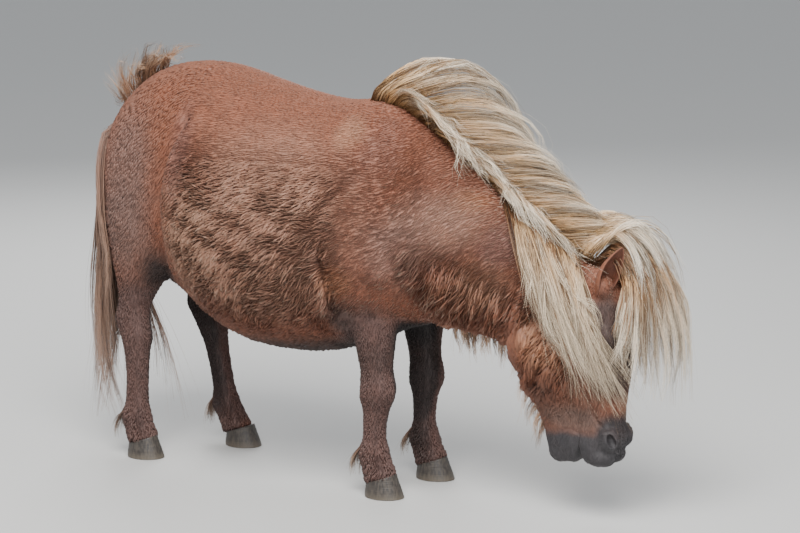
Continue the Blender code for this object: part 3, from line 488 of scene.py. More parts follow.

# The coat's colours, with painted shade and a painted sheen highlight among them.
MARKINGS_AND_SHADE = [
    Patch((-0.24, 0.26, 0.68), (0.36, 0.4, 0.28), (0.39, 0.22, 0.155), 0.85),
    Patch((-0.23, 0.2, 0.52), (0.26, 0.4, 0.13), (0.34, 0.19, 0.13), 0.7),
    Patch((-0.45, 0.24, 0.6), (0.14, 0.4, 0.19), (0.44, 0.26, 0.18), 0.7),
    Patch((-0.69, 0.17, 0.76), (0.15, 0.4, 0.23), (0.195, 0.118, 0.098), 0.75),
    Patch((-0.7, 0.19, 0.6), (0.14, 0.4, 0.2), (0.17, 0.1, 0.082), 0.85),
    # Painted sheen highlight along the border of the thigh and flank.
    Patch((-0.5, 0.19, 0.8), (0.05, 0.3, 0.2), PAINTED_SHEEN_PURPLE, 0.35),
    Patch((0.04, 0.11, 0.86), (0.07, 0.3, 0.1), (0.21, 0.085, 0.055), 0.6),
    Patch((0.105, 0.145, 0.76), (0.03, 0.3, 0.12), (0.26, 0.095, 0.048), 0.6),
    Patch((-0.05, 0.135, 0.89), (0.06, 0.3, 0.06), TAN, 0.35),
    Patch((0.246, 0.074, 0.735), (0.07, 0.2, 0.04), ORANGE, 0.55),
    Patch((0.18, 0.11, 0.68), (0.16, 0.3, 0.11), (0.4, 0.235, 0.175), 0.75),
    Patch((0.331, 0.085, 0.64), (0.07, 0.3, 0.08), (0.235, 0.13, 0.11), 0.6),
    Patch((0.1, 0.175, 0.62), (0.12, 0.3, 0.12), (0.31, 0.18, 0.14), 0.6),
    Patch((0.29, 0.115, 0.54), (0.13, 0.3, 0.09), (0.36, 0.19, 0.12), 0.7),
    Patch((0.454, 0.083, 0.43), (0.1, 0.3, 0.12), (0.43, 0.215, 0.125), 0.85),
    Patch((0.44, 0.06, 0.29), (0.07, 0.3, 0.12), (0.13, 0.054, 0.033), 0.85),
    Patch((0.534, 0.058, 0.31), (0.07, 0.3, 0.09), (0.15, 0.068, 0.042), 0.8),
    # Painted shade on the front of the face under the forelock.
    Patch((0.627, 0.045, 0.4), (0.045, 0.2, 0.14), PAINTED_SHADE_UMBER, 0.95, 0.4),
    Patch((0.52, 0.052, 0.25), (0.13, 0.3, 0.05), (0.11, 0.07, 0.056), 0.85),
    Patch((0.54, 0.045, 0.165), (0.19, 0.3, 0.072), SLATE, 1.0, 0.6),
    Patch((0.612, 0.045, 0.215), (0.055, 0.2, 0.06), SLATE, 0.95, 0.5),
    # Painted shade round the eye under the forelock.
    Patch((0.6, 0.06, 0.44), (0.07, 0.12, 0.16), PAINTED_SHADE_UMBER, 0.92, 0.5),
    Patch((-0.044, 0.231, 0.545), (0.06, 0.3, 0.06), ORANGE, 0.45),
    Patch((0.01, 0.115, 0.2), (0.15, 0.3, 0.34), LIVER, 0.95, 0.7),
    Patch((-0.69, 0.115, 0.2), (0.22, 0.3, 0.33), LIVER, 0.95, 0.7),
    # Painted shade: the inner sides of the fore and hind legs, under the belly, between the hind
    # legs, at the front of the stifle, between the fore legs and behind the elbow.
    Patch((0.01, 0.03, 0.26), (0.16, 0.085, 0.3), PAINTED_SHADE_BLACK, 0.85, 0.75),
    Patch((-0.69, 0.03, 0.26), (0.2, 0.09, 0.3), PAINTED_SHADE_BLACK, 0.8, 0.75),
    Patch((-0.17, 0.06, 0.34), (0.36, 0.24, 0.085), PAINTED_SHADE_UMBER, 0.95, 0.3),
    Patch((-0.6, 0.03, 0.48), (0.16, 0.12, 0.14), PAINTED_SHADE_BLACK, 1.0, 0.4),
    Patch((-0.61, 0.15, 0.49), (0.06, 0.11, 0.11), PAINTED_SHADE_BLACK, 0.9, 0.2),
    Patch((0.01, 0.03, 0.42), (0.16, 0.11, 0.11), PAINTED_SHADE_BLACK, 0.95, 0.4),
    Patch((-0.05, 0.19, 0.44), (0.06, 0.09, 0.09), PAINTED_SHADE_UMBER, 0.8, 0.2),
]


@dataclass(frozen=True)
class MarkingsAndShade:
    """The group of nodes that gives the coat's colour, with its painted shade and painted sheen
    highlight, and how shaggy it is, at a place.
    """

    ground: tuple = CHESTNUT
    ragged: tuple = (7.0, 0.05)  # scale of the noise that ruffles the patches' edges, and how far
    mottle: float = 26.0
    fleck: tuple = (1.45, 1.3, 1.2)  # tint of the mottled hair
    shag_top: tuple = (0.86, 0.72)  # heights between which the shaggy coat fades upwards
    shag_low: tuple = (0.40, 0.48)  # and downwards
    shag_back: tuple = (-0.60, -0.42)  # X between which it fades towards the rump

    def group(self) -> NodeTree:
        """Builds the group.

        Returns:
            The group, with inputs Place (in the pony's frame) and outputs Colour and Shag.
        """
        group = bpy.data.node_groups.new("coat_markings", "ShaderNodeTree")
        for direction, label, kind in (("INPUT", "Place", "Vector"), ("OUTPUT", "Colour", "Color"),
                                       ("OUTPUT", "Shag", "Float")):
            group.interface.new_socket(label, in_out=direction, socket_type=f"NodeSocket{kind}")
        g = Graph(group)
        place = g.add("NodeGroupInput").outputs["Place"]
        x, y, z = g.add("ShaderNodeSeparateXYZ", None, Vector=place).outputs
        warp = g.add("ShaderNodeTexNoise", None, Vector=place, Scale=self.ragged[0], Detail=3.0)
        stray = g.scaled(g.vector("SUBTRACT", warp.outputs["Color"], (0.5, 0.5, 0.5)),
                         self.ragged[1])
        folded = g.add("ShaderNodeCombineXYZ", None, X=x, Y=g.math("ABSOLUTE", y), Z=z)
        spot = g.vector("ADD", folded.outputs[0], stray)
        colour = rgba(self.ground)
        for patch in MARKINGS_AND_SHADE:
            away = g.vector("DIVIDE", g.vector("SUBTRACT", spot, patch.centre), patch.radii)
            reach = g.span(g.vector("LENGTH", away), patch.core, 1.0, patch.strength, 0.0)
            colour = g.mix(reach, colour, rgba(patch.colour))
        colour = g.mix(g.span(g.noise(place, self.mottle, 4.0), 0.35, 0.75, 0.0, 0.35), colour,
                       g.tinted(colour, self.fleck))
        shag = g.math("MULTIPLY", g.span(z, *self.shag_top), g.span(x, *self.shag_back))
        shag = g.math("MULTIPLY", shag, g.span(z, *self.shag_low))
        g.add("NodeGroupOutput", None, Colour=colour, Shag=shag)
        return group


class NewMaterial:
    """A new material with a Principled shader, and the coat's colours for those that ask."""

    def __init__(self, name: str) -> None:
        """Makes the material under its name."""
        self.material = bpy.data.materials.new(name)
        self.material.use_nodes = True
        self.g = Graph(self.material.node_tree)

    def seen(self) -> NodeSocket:
        """Returns the socket of the object's coordinates."""
        return self.g.add("ShaderNodeTexCoord").outputs["Object"]

    def coat(self, markings_and_shade: NodeTree, shift: Vector) -> Node:
        """Adds the group of the coat's colour and painted shade in the pony's frame and returns
        its node.
        """
        place = self.g.add("ShaderNodeMapping", None, Vector=self.seen(), Location=tuple(-shift))
        return self.g.add("ShaderNodeGroup", {"node_tree": markings_and_shade}, Place=place.outputs[0])

    def finished(self, **inputs) -> Material:
        """Feeds the shader's inputs, by name with _ for a space, and returns the material."""
        self.g.fill(self.material.node_tree.nodes["Principled BSDF"], **inputs)
        return self.material


@dataclass(frozen=True)
class HideFinish:
    """The skin with its short flat fur: the coat's colour with its painted shade, fine streaks
    along the lie, a soft sheen and a darker tint, partly painted shade, where it lies deep under
    the coat.
    """

    name: str = "short_fur_hide"
    roughness: float = 0.62
    sheen: tuple = (0.12, 0.35, (0.75, 0.62, 0.66))  # weight, roughness and colour
    streaks: tuple = (90.0, 650.0, 650.0)  # how fine they are along the lie and across it
    broad: tuple = (18.0, 90.0, 90.0)  # the same of the broad streaks below them
    tones: tuple = (0.62, 1.25)  # of the darkest and the palest streak
    # The deep tint is a darker undercoat and painted shade between the tufts.
    skin: tuple = (0.50, 0.45, 0.42)  # tint where the hide lies deep under the coat
    relief: tuple = (0.55, 0.0012)  # strength and height of the streaks

    def material(self, markings_and_shade: NodeTree, shift: Vector) -> Material:
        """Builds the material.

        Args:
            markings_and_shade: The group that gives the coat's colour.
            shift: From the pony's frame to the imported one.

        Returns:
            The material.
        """
        made = NewMaterial(self.name)
        g = made.g
        colour = made.coat(markings_and_shade, shift).outputs["Colour"]
        flow = g.attribute("flow", "Vector")
        streaks = g.grain(flow, self.streaks, 3.0)
        both = g.math("ADD", g.math("MULTIPLY", streaks, 0.65),
                      g.math("MULTIPLY", g.grain(flow, self.broad, 2.0), 0.35))
        shade = g.scaled(colour, g.span(both, 0.30, 0.70, *self.tones))
        # Painted shade: where the hide lies deep under the coat it is tinted darker, for the
        # undercoat and the shade between the tufts.
        dark = g.mix(g.span(g.attribute("depth"), 0.002, 0.010), shade,
                     g.tinted(shade, self.skin))
        weight, rough, tint = self.sheen
        return made.finished(Base_Color=dark, Roughness=self.roughness, Sheen_Weight=weight,
                              Sheen_Roughness=rough, Sheen_Tint=rgba(tint),
                              Normal=g.bump(streaks, *self.relief))


@dataclass(frozen=True)
class TuftFinish:
    """Tufts of the coat over its colour and painted shade: dark at the root, from the hair's own
    colour and painted shade deep in the coat, and paler at the tip.
    """

    name: str = "coat_tufts"
    # The root's dark tint is partly the hair's own colour and partly painted shade deep in the
    # coat.
    root: tuple = (0.55, 0.50, 0.47)  # tints of the root and the tip
    tip: tuple = (1.30, 1.30, 1.28)
    pale: tuple = (0.66, 0.48, 0.37)  # colour of the palest tips of the shaggy coat
    pale_share: float = 0.85
    roughness: float = 0.58
    sheen: float = 0.05
    long: tuple = (0.016, 0.029)  # lengths between which a tuft gets its full range of tones

    def material(self, markings_and_shade: NodeTree, shift: Vector) -> Material:
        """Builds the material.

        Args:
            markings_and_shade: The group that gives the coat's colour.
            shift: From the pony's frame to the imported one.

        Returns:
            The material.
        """
        made = NewMaterial(self.name)
        g = made.g
        coat = made.coat(markings_and_shade, shift).outputs
        base, along, tone = coat["Colour"], g.attribute("along"), g.attribute("tone")
        depth = g.span(g.attribute("length"), *self.long, 0.22, 1.0)
        # The darker root, the more so on long tufts, is partly painted shade deep in the coat.
        dark, light = (g.mix(depth, base, g.tinted(base, tint)) for tint in (self.root, self.tip))
        colour = g.mix(g.span(along, 0.05, 0.75), dark, light)
        share = g.math("MULTIPLY", g.span(along, 0.30, 0.95),
                       g.math("MULTIPLY", coat["Shag"], g.span(tone, 0.15, 0.85)))
        colour = g.mix(g.math("MULTIPLY", share, self.pale_share), colour, rgba(self.pale))
        vary = g.math("MULTIPLY", g.math("SUBTRACT", tone, 0.5), depth)
        shade = g.scaled(colour, g.math("MULTIPLY_ADD", vary, 0.50, 1.0))
        return made.finished(Base_Color=shade, Roughness=self.roughness,
                              Sheen_Weight=self.sheen)


@dataclass(frozen=True)
class StrandFinish:
    """Long hair: a colour from root to tip with light and dark strands."""

    name: str
    root: tuple
    middle: tuple
    tip: tuple
    dark: tuple  # colour of the dark strands
    dark_share: float
    roughness: float = 0.36
    tones: tuple = (0.50, 1.25)  # of the darkest and the palest strand

    def material(self) -> Material:
        """Builds the material and returns it."""
        made = NewMaterial(self.name)
        g = made.g
        along, tone = g.attribute("along"), g.attribute("tone")
        colour = g.mix(g.span(along, 0.02, 0.34), rgba(self.root), rgba(self.middle))
        colour = g.mix(g.span(along, 0.30, 0.80), colour, rgba(self.tip))
        colour = g.mix(g.span(tone, 0.48, 0.0, 0.0, self.dark_share), colour, rgba(self.dark))
        shade = g.scaled(colour, g.span(tone, 0.0, 1.0, *self.tones))
        return made.finished(Base_Color=shade, Roughness=self.roughness)


CREAM = StrandFinish("mane_cream", (0.20, 0.10, 0.045), (0.74, 0.50, 0.26),
                     (0.95, 0.87, 0.74), (0.36, 0.19, 0.075), 0.75)
FLAX = StrandFinish("mane_flax", (0.15, 0.075, 0.035), (0.56, 0.36, 0.19),
                    (0.80, 0.66, 0.49), (0.25, 0.125, 0.055), 0.8)
GOLD = StrandFinish("forelock_gold", (0.16, 0.075, 0.03), (0.58, 0.35, 0.165),
                    (0.86, 0.75, 0.60), (0.30, 0.15, 0.06), 0.8)
DARK_BROWN = StrandFinish("tail_brown", (0.13, 0.060, 0.040), (0.31, 0.170, 0.120),
                          (0.36, 0.220, 0.155), (0.07, 0.04, 0.032), 0.7)
RED_BROWN = StrandFinish("long_chestnut", (0.09, 0.042, 0.025), (0.36, 0.18, 0.10),
                         (0.58, 0.38, 0.25), (0.10, 0.045, 0.028), 0.7)
# Painted shade: dark strands laid under the mane's near fall, forelock and poll.
MANE_SHADE_STRANDS = StrandFinish("mane_depths", (0.07, 0.032, 0.016), (0.17, 0.080, 0.038),
                      (0.34, 0.20, 0.11), (0.06, 0.03, 0.016), 0.6)
DUN = StrandFinish("feather_dun", (0.10, 0.055, 0.042), (0.24, 0.14, 0.10),
                   (0.36, 0.25, 0.18), (0.08, 0.045, 0.035), 0.5)


@dataclass(frozen=True)
class HornFinish:
    """Hoof horn: dark, with growth rings round the hoof and pale scuffs near the ground."""

    name: str = "hoof_horn_rings"
    dark: tuple = (0.030, 0.025, 0.022)
    light: tuple = (0.075, 0.062, 0.050)
    scuffed: tuple = (0.14, 0.115, 0.085)
    rings: tuple = (14.0, 14.0, 420.0)  # how fine they are along each axis
    fibres: tuple = (260.0, 260.0, 30.0)  # the same of the fibres down the wall
    relief: tuple = (0.5, 0.0015)  # strength and height of the rings

    def material(self) -> Material:
        """Builds the material and returns it."""
        made = NewMaterial(self.name)
        g, seen = made.g, made.seen()
        rings, grain = g.grain(seen, self.rings, 2.0), g.grain(seen, self.fibres, 3.0)
        high = g.add("ShaderNodeSeparateXYZ", None, Vector=seen).outputs["Z"]
        colour = g.mix(g.span(grain, 0.35, 0.7), rgba(self.dark), rgba(self.light))
        colour = g.mix(g.span(high, 0.022, 0.0, 0.0, 0.6), colour, rgba(self.scuffed))
        return made.finished(Base_Color=colour, Roughness=g.span(grain, 0.3, 0.7, 0.42, 0.62),
                              Normal=g.bump(rings, *self.relief))


@dataclass(frozen=True)
class EyeFinish:
    """A wet dark eye: brown iris round a long pupil that lies level."""

    name: str = "wet_eye"
    pupil: tuple = (0.0080, 0.0080, 0.0052)  # radii that it is measured by
    black: tuple = (0.002, 0.002, 0.003)
    brown: tuple = ((0.035, 0.014, 0.006), (0.075, 0.032, 0.013))  # the iris's dark and light
    rim: tuple = (0.018, 0.010, 0.008)  # outside the iris

    def material(self, centres: list) -> Material:
        """Builds the material.

        Args:
            centres: The middle of each pupil on the ball's surface.

        Returns:
            The material.
        """
        made = NewMaterial(self.name)
        g, seen = made.g, made.seen()
        near = [g.vector("LENGTH", g.vector(
            "DIVIDE", g.vector("SUBTRACT", seen, tuple(centre)), self.pupil))
            for centre in centres]
        reach = g.math("MINIMUM", *near)
        iris = g.mix(g.noise(seen, 900.0), *(rgba(brown) for brown in self.brown))
        colour = g.mix(g.span(reach, 0.7, 0.95), rgba(self.black), iris)
        colour = g.mix(g.span(reach, 1.9, 2.4), colour, rgba(self.rim))
        return made.finished(Base_Color=colour, Roughness=0.06, Coat_Weight=1.0,
                              Coat_Roughness=0.02)


@dataclass(frozen=True)
class FloorFinish:
    """The plain pale floor."""

    name: str = "pale_floor"
    colour: tuple = (0.55, 0.55, 0.54)
    roughness: float = 0.9

    def material(self) -> Material:
        """Builds the material and returns it."""
        return NewMaterial(self.name).finished(Base_Color=rgba(self.colour),
                                               Roughness=self.roughness)


# ---------------------------------------------------------------- the body under the coat

# A section is a ring between its top and bottom points in the X-Z plane. A row gives, in
# millimetres, X and Z of the top, X and Z of the bottom and the half width, and where they are
# not as in PLAIN_SECTION, its taper (wider at the bottom when negative), how square it is (2 is
# an ellipse) and the Y of its middle, in millimetres.
PLAIN_SECTION = (0.0, 2.2, 0)
TORSO = [
    (-835, 800, -835, 640, 60), (-810, 885, -815, 570, 125, -0.05),
    (-760, 950, -765, 510, 170, -0.08), (-680, 1003, -685, 470, 196, -0.08),
    (-580, 1024, -585, 430, 214, -0.05), (-480, 1018, -480, 375, 245, -0.08),
    (-370, 990, -370, 340, 270, -0.14), (-260, 965, -260, 330, 275, -0.16),
    (-150, 951, -150, 338, 262, -0.16), (-50, 958, -50, 365, 232, -0.16),
    (40, 945, 50, 405, 196, -0.14), (110, 885, 130, 430, 168, -0.1),
    (160, 800, 190, 470, 120, -0.05),
]
NECK = [
    (-60, 955, 60, 450, 150, -0.35), (60, 935, 150, 440, 152, -0.38),
    (170, 862, 215, 438, 132, -0.36), (280, 782, 262, 437, 112, -0.3),
    (380, 710, 300, 430, 98, -0.2), (470, 650, 335, 412, 90, -0.1), (540, 612, 390, 400, 78),
]
HEAD = [
    (560, 622, 470, 580, 44), (598, 590, 420, 540, 68), (622, 546, 384, 487, 81, 0.02),
    (634, 496, 360, 432, 87, 0.05, 2.4), (638, 447, 350, 380, 88, 0.08, 2.5),
    (635, 402, 362, 336, 79, 0.06, 2.5), (630, 357, 382, 296, 67, 0.04, 2.4),
    (625, 312, 400, 260, 57, 0.02, 2.3), (621, 272, 411, 228, 52, 0.0, 2.3),
    (620, 232, 418, 200, 51, 0.02, 2.3), (622, 197, 424, 176, 54, 0.08, 2.4),
    (612, 165, 436, 150, 50, 0.1, 2.4), (588, 143, 458, 134, 36, 0.08),
]
FORE_LEG = [
    (95, 600, -85, 620, 60, 0.0, 2.2, 10), (85, 540, -84, 555, 68, 0.0, 2.2, 20),
    (76, 490, -78, 500, 60, 0.0, 2.2, 12), (61, 430, -60, 435, 51, 0.0, 2.2, 4),
    (50, 370, -46, 372, 43), (45, 315, -34, 315, 37), (52, 280, -34, 275, 40),
    (52, 250, -36, 245, 39), (37, 215, -28, 212, 31), (29, 175, -28, 175, 27),
    (28, 140, -30, 138, 27), (34, 112, -40, 104, 33), (41, 85, -30, 72, 31),
    (52, 62, -22, 45, 35), (55, 50, -21, 32, 36),
]
HIND_LEG = [
    (80, 700, -80, 740, 60, 0.0, 2.2, 10), (118, 625, -94, 670, 70, 0.0, 2.2, 14),
    (116, 560, -88, 600, 68, 0.0, 2.2, 14), (90, 500, -78, 520, 58, 0.0, 2.2, 10),
    (52, 440, -60, 445, 46, 0.0, 2.2, 4), (28, 395, -58, 400, 37), (32, 350, -66, 368, 36),
    (37, 315, -48, 322, 37), (30, 272, -34, 270, 31), (27, 215, -29, 210, 28),
    (28, 150, -32, 145, 27), (33, 115, -41, 106, 33), (40, 86, -30, 72, 31),
    (51, 62, -22, 45, 34), (53, 50, -21, 32, 35),
]
HOCK_HEIGHT = 0.36
THIGH_X = -0.690


@dataclass(frozen=True)
class Stance:
    """Where a leg stands."""

    sections: list  # its rings
    side: Side
    track: float  # distance from the middle plane
    x: float
    ahead: float  # how far the foot is ahead of the hock


STANCES = {
    "fore_right": Stance(FORE_LEG, Side.RIGHT, FORE_TRACK, 0.000, 0.000),
    "fore_left": Stance(FORE_LEG, Side.LEFT, FORE_TRACK, 0.008, 0.010),
    "hind_right": Stance(HIND_LEG, Side.RIGHT, HIND_TRACK, -0.715, -0.010),
    "hind_left": Stance(HIND_LEG, Side.LEFT, HIND_TRACK, -0.655, 0.075),
}


@dataclass(frozen=True)
class Muscle:
    """An ellipsoid of flesh or bone: centre, radii and how its upper end leans, in degrees."""

    centre: tuple
    radii: tuple
    back: float = 0.0
    inwards: float = 0.0

    def mesh(self, side: Side, name: str = "muscle", detail: int = 4) -> Object:
        """Makes the ellipsoid on one side.

        Args:
            side: The side.
            name: The object's name.
            detail: How often the icosphere is divided.

        Returns:
            The object.
        """
        x, y, z = self.centre
        place = (Matrix.Translation((x, side * y, z))
                 @ Matrix.Rotation(math.radians(-self.back), 4, "Y")
                 @ Matrix.Rotation(math.radians(side * self.inwards), 4, "X")
                 @ Matrix.Diagonal((*self.radii, 1)))
        work = bmesh.new()
        bmesh.ops.create_icosphere(work, subdivisions=detail, radius=1, matrix=place)
        mesh = bpy.data.meshes.new(name)
        work.to_mesh(mesh)
        work.free()
        return place_object(name, mesh)


MUSCLES = [
    Muscle((-0.640, 0.085, 0.790), (0.150, 0.105, 0.180), 20, 10),
    Muscle((-0.742, 0.095, 0.650), (0.080, 0.075, 0.180), -6, 4),
    Muscle((-0.610, 0.125, 0.640), (0.095, 0.066, 0.140), 25, 8),
    Muscle((-0.010, 0.130, 0.700), (0.085, 0.055, 0.190), 24, 18),
    Muscle((0.105, 0.108, 0.590), (0.075, 0.070, 0.090), -10, 0),
    Muscle((-0.010, 0.140, 0.550), (0.095, 0.060, 0.080), -30, 10),
    Muscle((0.165, 0.050, 0.520), (0.060, 0.070, 0.095), 0, 0),
    Muscle((0.430, 0.046, 0.420), (0.074, 0.042, 0.086), -14, 0),
    Muscle((0.590, 0.066, 0.452), (0.036, 0.020, 0.032), 0, 0),
    Muscle((0.556, 0.058, 0.385), (0.016, 0.012, 0.060), 12, 0),
    Muscle((0.600, 0.036, 0.206), (0.026, 0.022, 0.032), 8, 0),
    Muscle((0.574, 0.024, 0.160), (0.038, 0.032, 0.026), 0, 0),
    Muscle((0.468, 0.014, 0.158), (0.034, 0.032, 0.028), 0, 0),
    Muscle((0.580, 0.046, 0.565), (0.026, 0.024, 0.030), 0, 0),
]
NOSTRIL = Muscle((0.613, 0.049, 0.206), (0.010, 0.012, 0.018), 24, 0)
MOUTH = ((0.500, 0.118), (0.548, 0.118), (0.532, 0.186), (0.530, 0.214))


@dataclass(frozen=True)
class Fold:
    """A groove or, with a negative depth, a ridge in the hide along a line on each side.

    Attributes:
        line: Points in X and Z, seen from the side.
        depth: How deep it is.
        width: How far its sides reach.
        inner: The least distance from the middle plane where it shows.
    """

    line: list
    depth: float
    width: float
    inner: float = 0.03


FOLDS = [
    Fold([(-0.500, 0.900), (-0.548, 0.790), (-0.570, 0.690), (-0.572, 0.600), (-0.590, 0.500)],
         0.012, 0.026, 0.10),
    Fold([(-0.470, 0.900), (-0.512, 0.800), (-0.530, 0.700), (-0.528, 0.610)],
         -0.006, 0.030, 0.10),
    Fold([(-0.070, 0.620), (-0.062, 0.540), (-0.060, 0.470)], 0.014, 0.022, 0.08),
    Fold([(0.045, 0.900), (0.010, 0.800), (-0.070, 0.700), (-0.085, 0.600)], 0.005, 0.035, 0.08),
    Fold([(0.110, 0.800), (0.125, 0.700), (0.100, 0.600)], 0.004, 0.030, 0.06),
    Fold([(0.385, 0.560), (0.370, 0.500), (0.350, 0.440), (0.352, 0.400)], 0.010, 0.022, 0.03),
    Fold([(0.500, 0.410), (0.540, 0.320), (0.575, 0.240)], 0.0035, 0.012, 0.02),
    Fold([(0.560, 0.260), (0.586, 0.236), (0.606, 0.236)], 0.003, 0.008, 0.01),
    Fold([(0.530, 0.214), (0.505, 0.222), (0.480, 0.215)], 0.0025, 0.008, 0.01),
]


def section_rings(sections: list, count: int) -> list:
    """Works out the rings of a loft.

    Args:
        sections: The table's rows.
        count: Points round a ring.

    Returns:
        The rings, each an array of points.
    """
    rows = []
    for row in sections:
        *sizes, taper, square, y = row + PLAIN_SECTION[len(row) - 5:]
        rows.append([size / 1000 for size in sizes] + [taper, square, y / 1000])
    angle = np.linspace(0, 2 * math.pi, count, endpoint=False)
    rings = []
    for tx, tz, bx, bz, half_width, taper, square, y in spline_rows(rows, SPLINE_STEPS):
        along, across = (np.sign(turn) * np.abs(turn) ** (2 / square)
                         for turn in (np.cos(angle), np.sin(angle)))
        x = (tx + bx) / 2 + along * (tx - bx) / 2
        z = (tz + bz) / 2 + along * (tz - bz) / 2
        rings.append(np.stack([x, y + across * half_width * (1 + taper * along), z], 1))
    return rings


def loft(name: str, rings: list) -> Object:
    """Makes a closed skin over rings that all have as many points.

    Args:
        name: The object's name.
        rings: The rings.

    Returns:
        The object.
    """
    count = len(rings[0])
    faces = [(r * count + k, r * count + (k + 1) % count, (r + 1) * count + (k + 1) % count,
              (r + 1) * count + k) for r in range(len(rings) - 1) for k in range(count)]
    last = (len(rings) - 1) * count
    faces += [tuple(reversed(range(count))), tuple(range(last, last + count))]
    obj = mesh_object(name, np.vstack(rings), faces)
    edit(obj, turn_out)
    return obj


def leg_rings(stance: Stance) -> list:
    """Works out a leg's rings where it stands.

    Args:
        stance: The leg.

    Returns:
        The rings.
    """
    root = 0.0 if stance.sections is FORE_LEG else THIGH_X
    rings = section_rings(stance.sections, 40)
    for ring in rings:
        ahead = stance.ahead * np.clip(1 - ring[:, 2] / HOCK_HEIGHT, 0, 1)
        above = np.clip((ring[:, 2] - HOCK_HEIGHT) / 0.2, 0, 1)
        ring[:, 0] += stance.x + ahead - above * (stance.x - root)
        ring[:, 1] = stance.side * (stance.track + ring[:, 1])
    return rings


def joined(name: str, objects: list) -> Object:
    """Joins objects that may overlap into one mesh and removes them.

    Args:
        name: The new object's name.
        objects: The objects.

    Returns:
        The new object.
    """
    verts, faces = [], []
    for obj in objects:
        start = len(verts)
        verts += [v.co[:] for v in obj.data.vertices]
        faces += [tuple(start + i for i in p.vertices) for p in obj.data.polygons]
        bpy.data.objects.remove(obj)
    return mesh_object(name, verts, faces)


def boolean(target: Object, tool: Object, cut: Cut) -> None:
    """Applies a Boolean and removes its tool.

    Args:
        target: The object that is changed.
        tool: The other object.
        cut: What is done with it.
    """
    change = target.modifiers.new("cut", "BOOLEAN")
    change.operation = cut.value
    change.solver = "MANIFOLD"
    change.object = tool
    settle(target)
    bpy.data.objects.remove(tool)


class Region:
    """Soft masks of the body's regions for points in the pony's frame."""

    def __init__(self, points: np.ndarray) -> None:
        """Works out the masks for rows of X, Y and Z."""
        x, y, z = points.T
        side = np.abs(y)
        self.points = points
        head_side = (x - 0.385) * 0.844 - (z - 0.395) * 0.537
        self.head = smooth_step(head_side, -0.02, 0.04)
        neck_side = (x - 0.195) * 0.921 + (z - 0.45) * 0.390
        self.neck = smooth_step(neck_side, -0.06, 0.06) * (1 - self.head)
        self.trunk = (1 - self.head) * (1 - self.neck)
        legs = smooth_step(z, 0.50, 0.40) * (smooth_step(x, -0.48, -0.54)
                                             + smooth_step(x, -0.11, -0.07))
        self.legs = legs * self.trunk * smooth_step(side, 0.02, 0.05)
        self.feet = smooth_step(z, 0.16, 0.09) * (self.head < 0.5)
        self.belly = smooth_step(z, 0.46, 0.37) * self.trunk * (1 - self.legs)
        self.rump = smooth_step(x, -0.46, -0.56) * self.trunk * (1 - self.legs)
        self.top = smooth_step(z, 0.80, 0.90) * (self.trunk + self.neck)
        self.barrel = (self.trunk * (1 - self.rump) * smooth_step(z, 0.86, 0.74)
                       * smooth_step(x, 0.02, -0.10) * (1 - self.legs))
        crest = 0.955 - 0.62 * np.clip(x, 0, 0.6) - z
        self.under_neck = (smooth_step(crest, 0.14, 0.30) * self.neck
                           * smooth_step(z, 0.70, 0.56))
        self.cheek = np.clip(
            self.head * smooth_step(x, 0.56, 0.47) * smooth_step(z, 0.26, 0.38)
            + 0.5 * self.head * smooth_step(x, 0.47, 0.42) * smooth_step(z, 0.17, 0.25), 0, 1)
        self.face = self.head * (1 - self.cheek)
        self.muzzle = self.head * smooth_step(z, 0.27, 0.21)

    def length(self) -> np.ndarray:
        """Returns how long the coat's tufts are at each point."""
        return layered(np.full(len(self.points), 0.017), (
            (self.top, 0.015), (self.rump, 0.018), (self.neck, 0.021), (self.barrel, 0.030),
            (self.belly, 0.030), (self.under_neck, 0.046), (self.face, 0.0085),
            (self.cheek, 0.038), (self.muzzle, 0.0045), (self.legs, 0.0105),
            (self.feet, 0.012)))

    def depth(self) -> np.ndarray:
        """Returns how far the hide lies inside the solids' surface at each point."""
        return layered(np.full(len(self.points), 0.004), (
            (self.top, 0.003), (self.rump, 0.004), (self.barrel, 0.008), (self.belly, 0.008),
            (self.under_neck, 0.009), (self.face, 0.0015), (self.cheek, 0.007),
            (self.muzzle, 0.0006), (self.legs, 0.0025), (self.feet, 0.003)))

    def lift(self) -> np.ndarray:
        """Returns how steeply tufts stand off the hide at each point, in degrees."""
        return layered(np.full(len(self.points), 5.0), (
            (self.top, 2.6), (self.rump, 3.6), (self.barrel, 11.0), (self.under_neck, 18.0),
            (self.cheek, 16.0), (self.face, 6.0), (self.legs, 7.0), (self.feet, 14.0)))

    def lie(self) -> np.ndarray:
        """Returns the direction in which the coat lies at each point, not yet on the hide."""
        x, y, z = self.points.T
        flow = np.tile(np.array([-0.95, 0.0, -0.22]), (len(x), 1))
        flow = layered(flow, (
            (smooth_step(z, 0.78, 0.42) * 0.8, (-0.55, 0.0, -0.80)),
            (self.rump, (-0.50, 0.0, -0.85)), (self.neck, (-0.80, 0.0, -0.55)),
            (self.under_neck, (-0.35, 0.0, -0.93)), (self.legs, (-0.12, 0.0, -1.0)),
            (self.belly, (-0.85, 0.0, -0.35)), (self.head, (-0.05, 0.0, -1.0)),
            (self.cheek, (-0.55, 0.0, -0.85))))
        flow[:, 1] += 0.25 * np.sign(y) * self.top * smooth_step(np.abs(y), 0.0, 0.05)
        ripple = (np.sin(x * 31 + z * 47 + 2.2 * np.sin(z * 23 + y * 9))
                  + 0.7 * np.sin(x * 73 - z * 58 + 1.7 * np.sin(x * 41)))
        turn = ripple * (0.07 + 0.15 * (self.barrel + self.under_neck + self.cheek * 0.5))
        turned = flow.copy()
        turned[:, 0] = flow[:, 0] * np.cos(turn) - flow[:, 2] * np.sin(turn)
        turned[:, 2] = flow[:, 0] * np.sin(turn) + flow[:, 2] * np.cos(turn)
        return turned


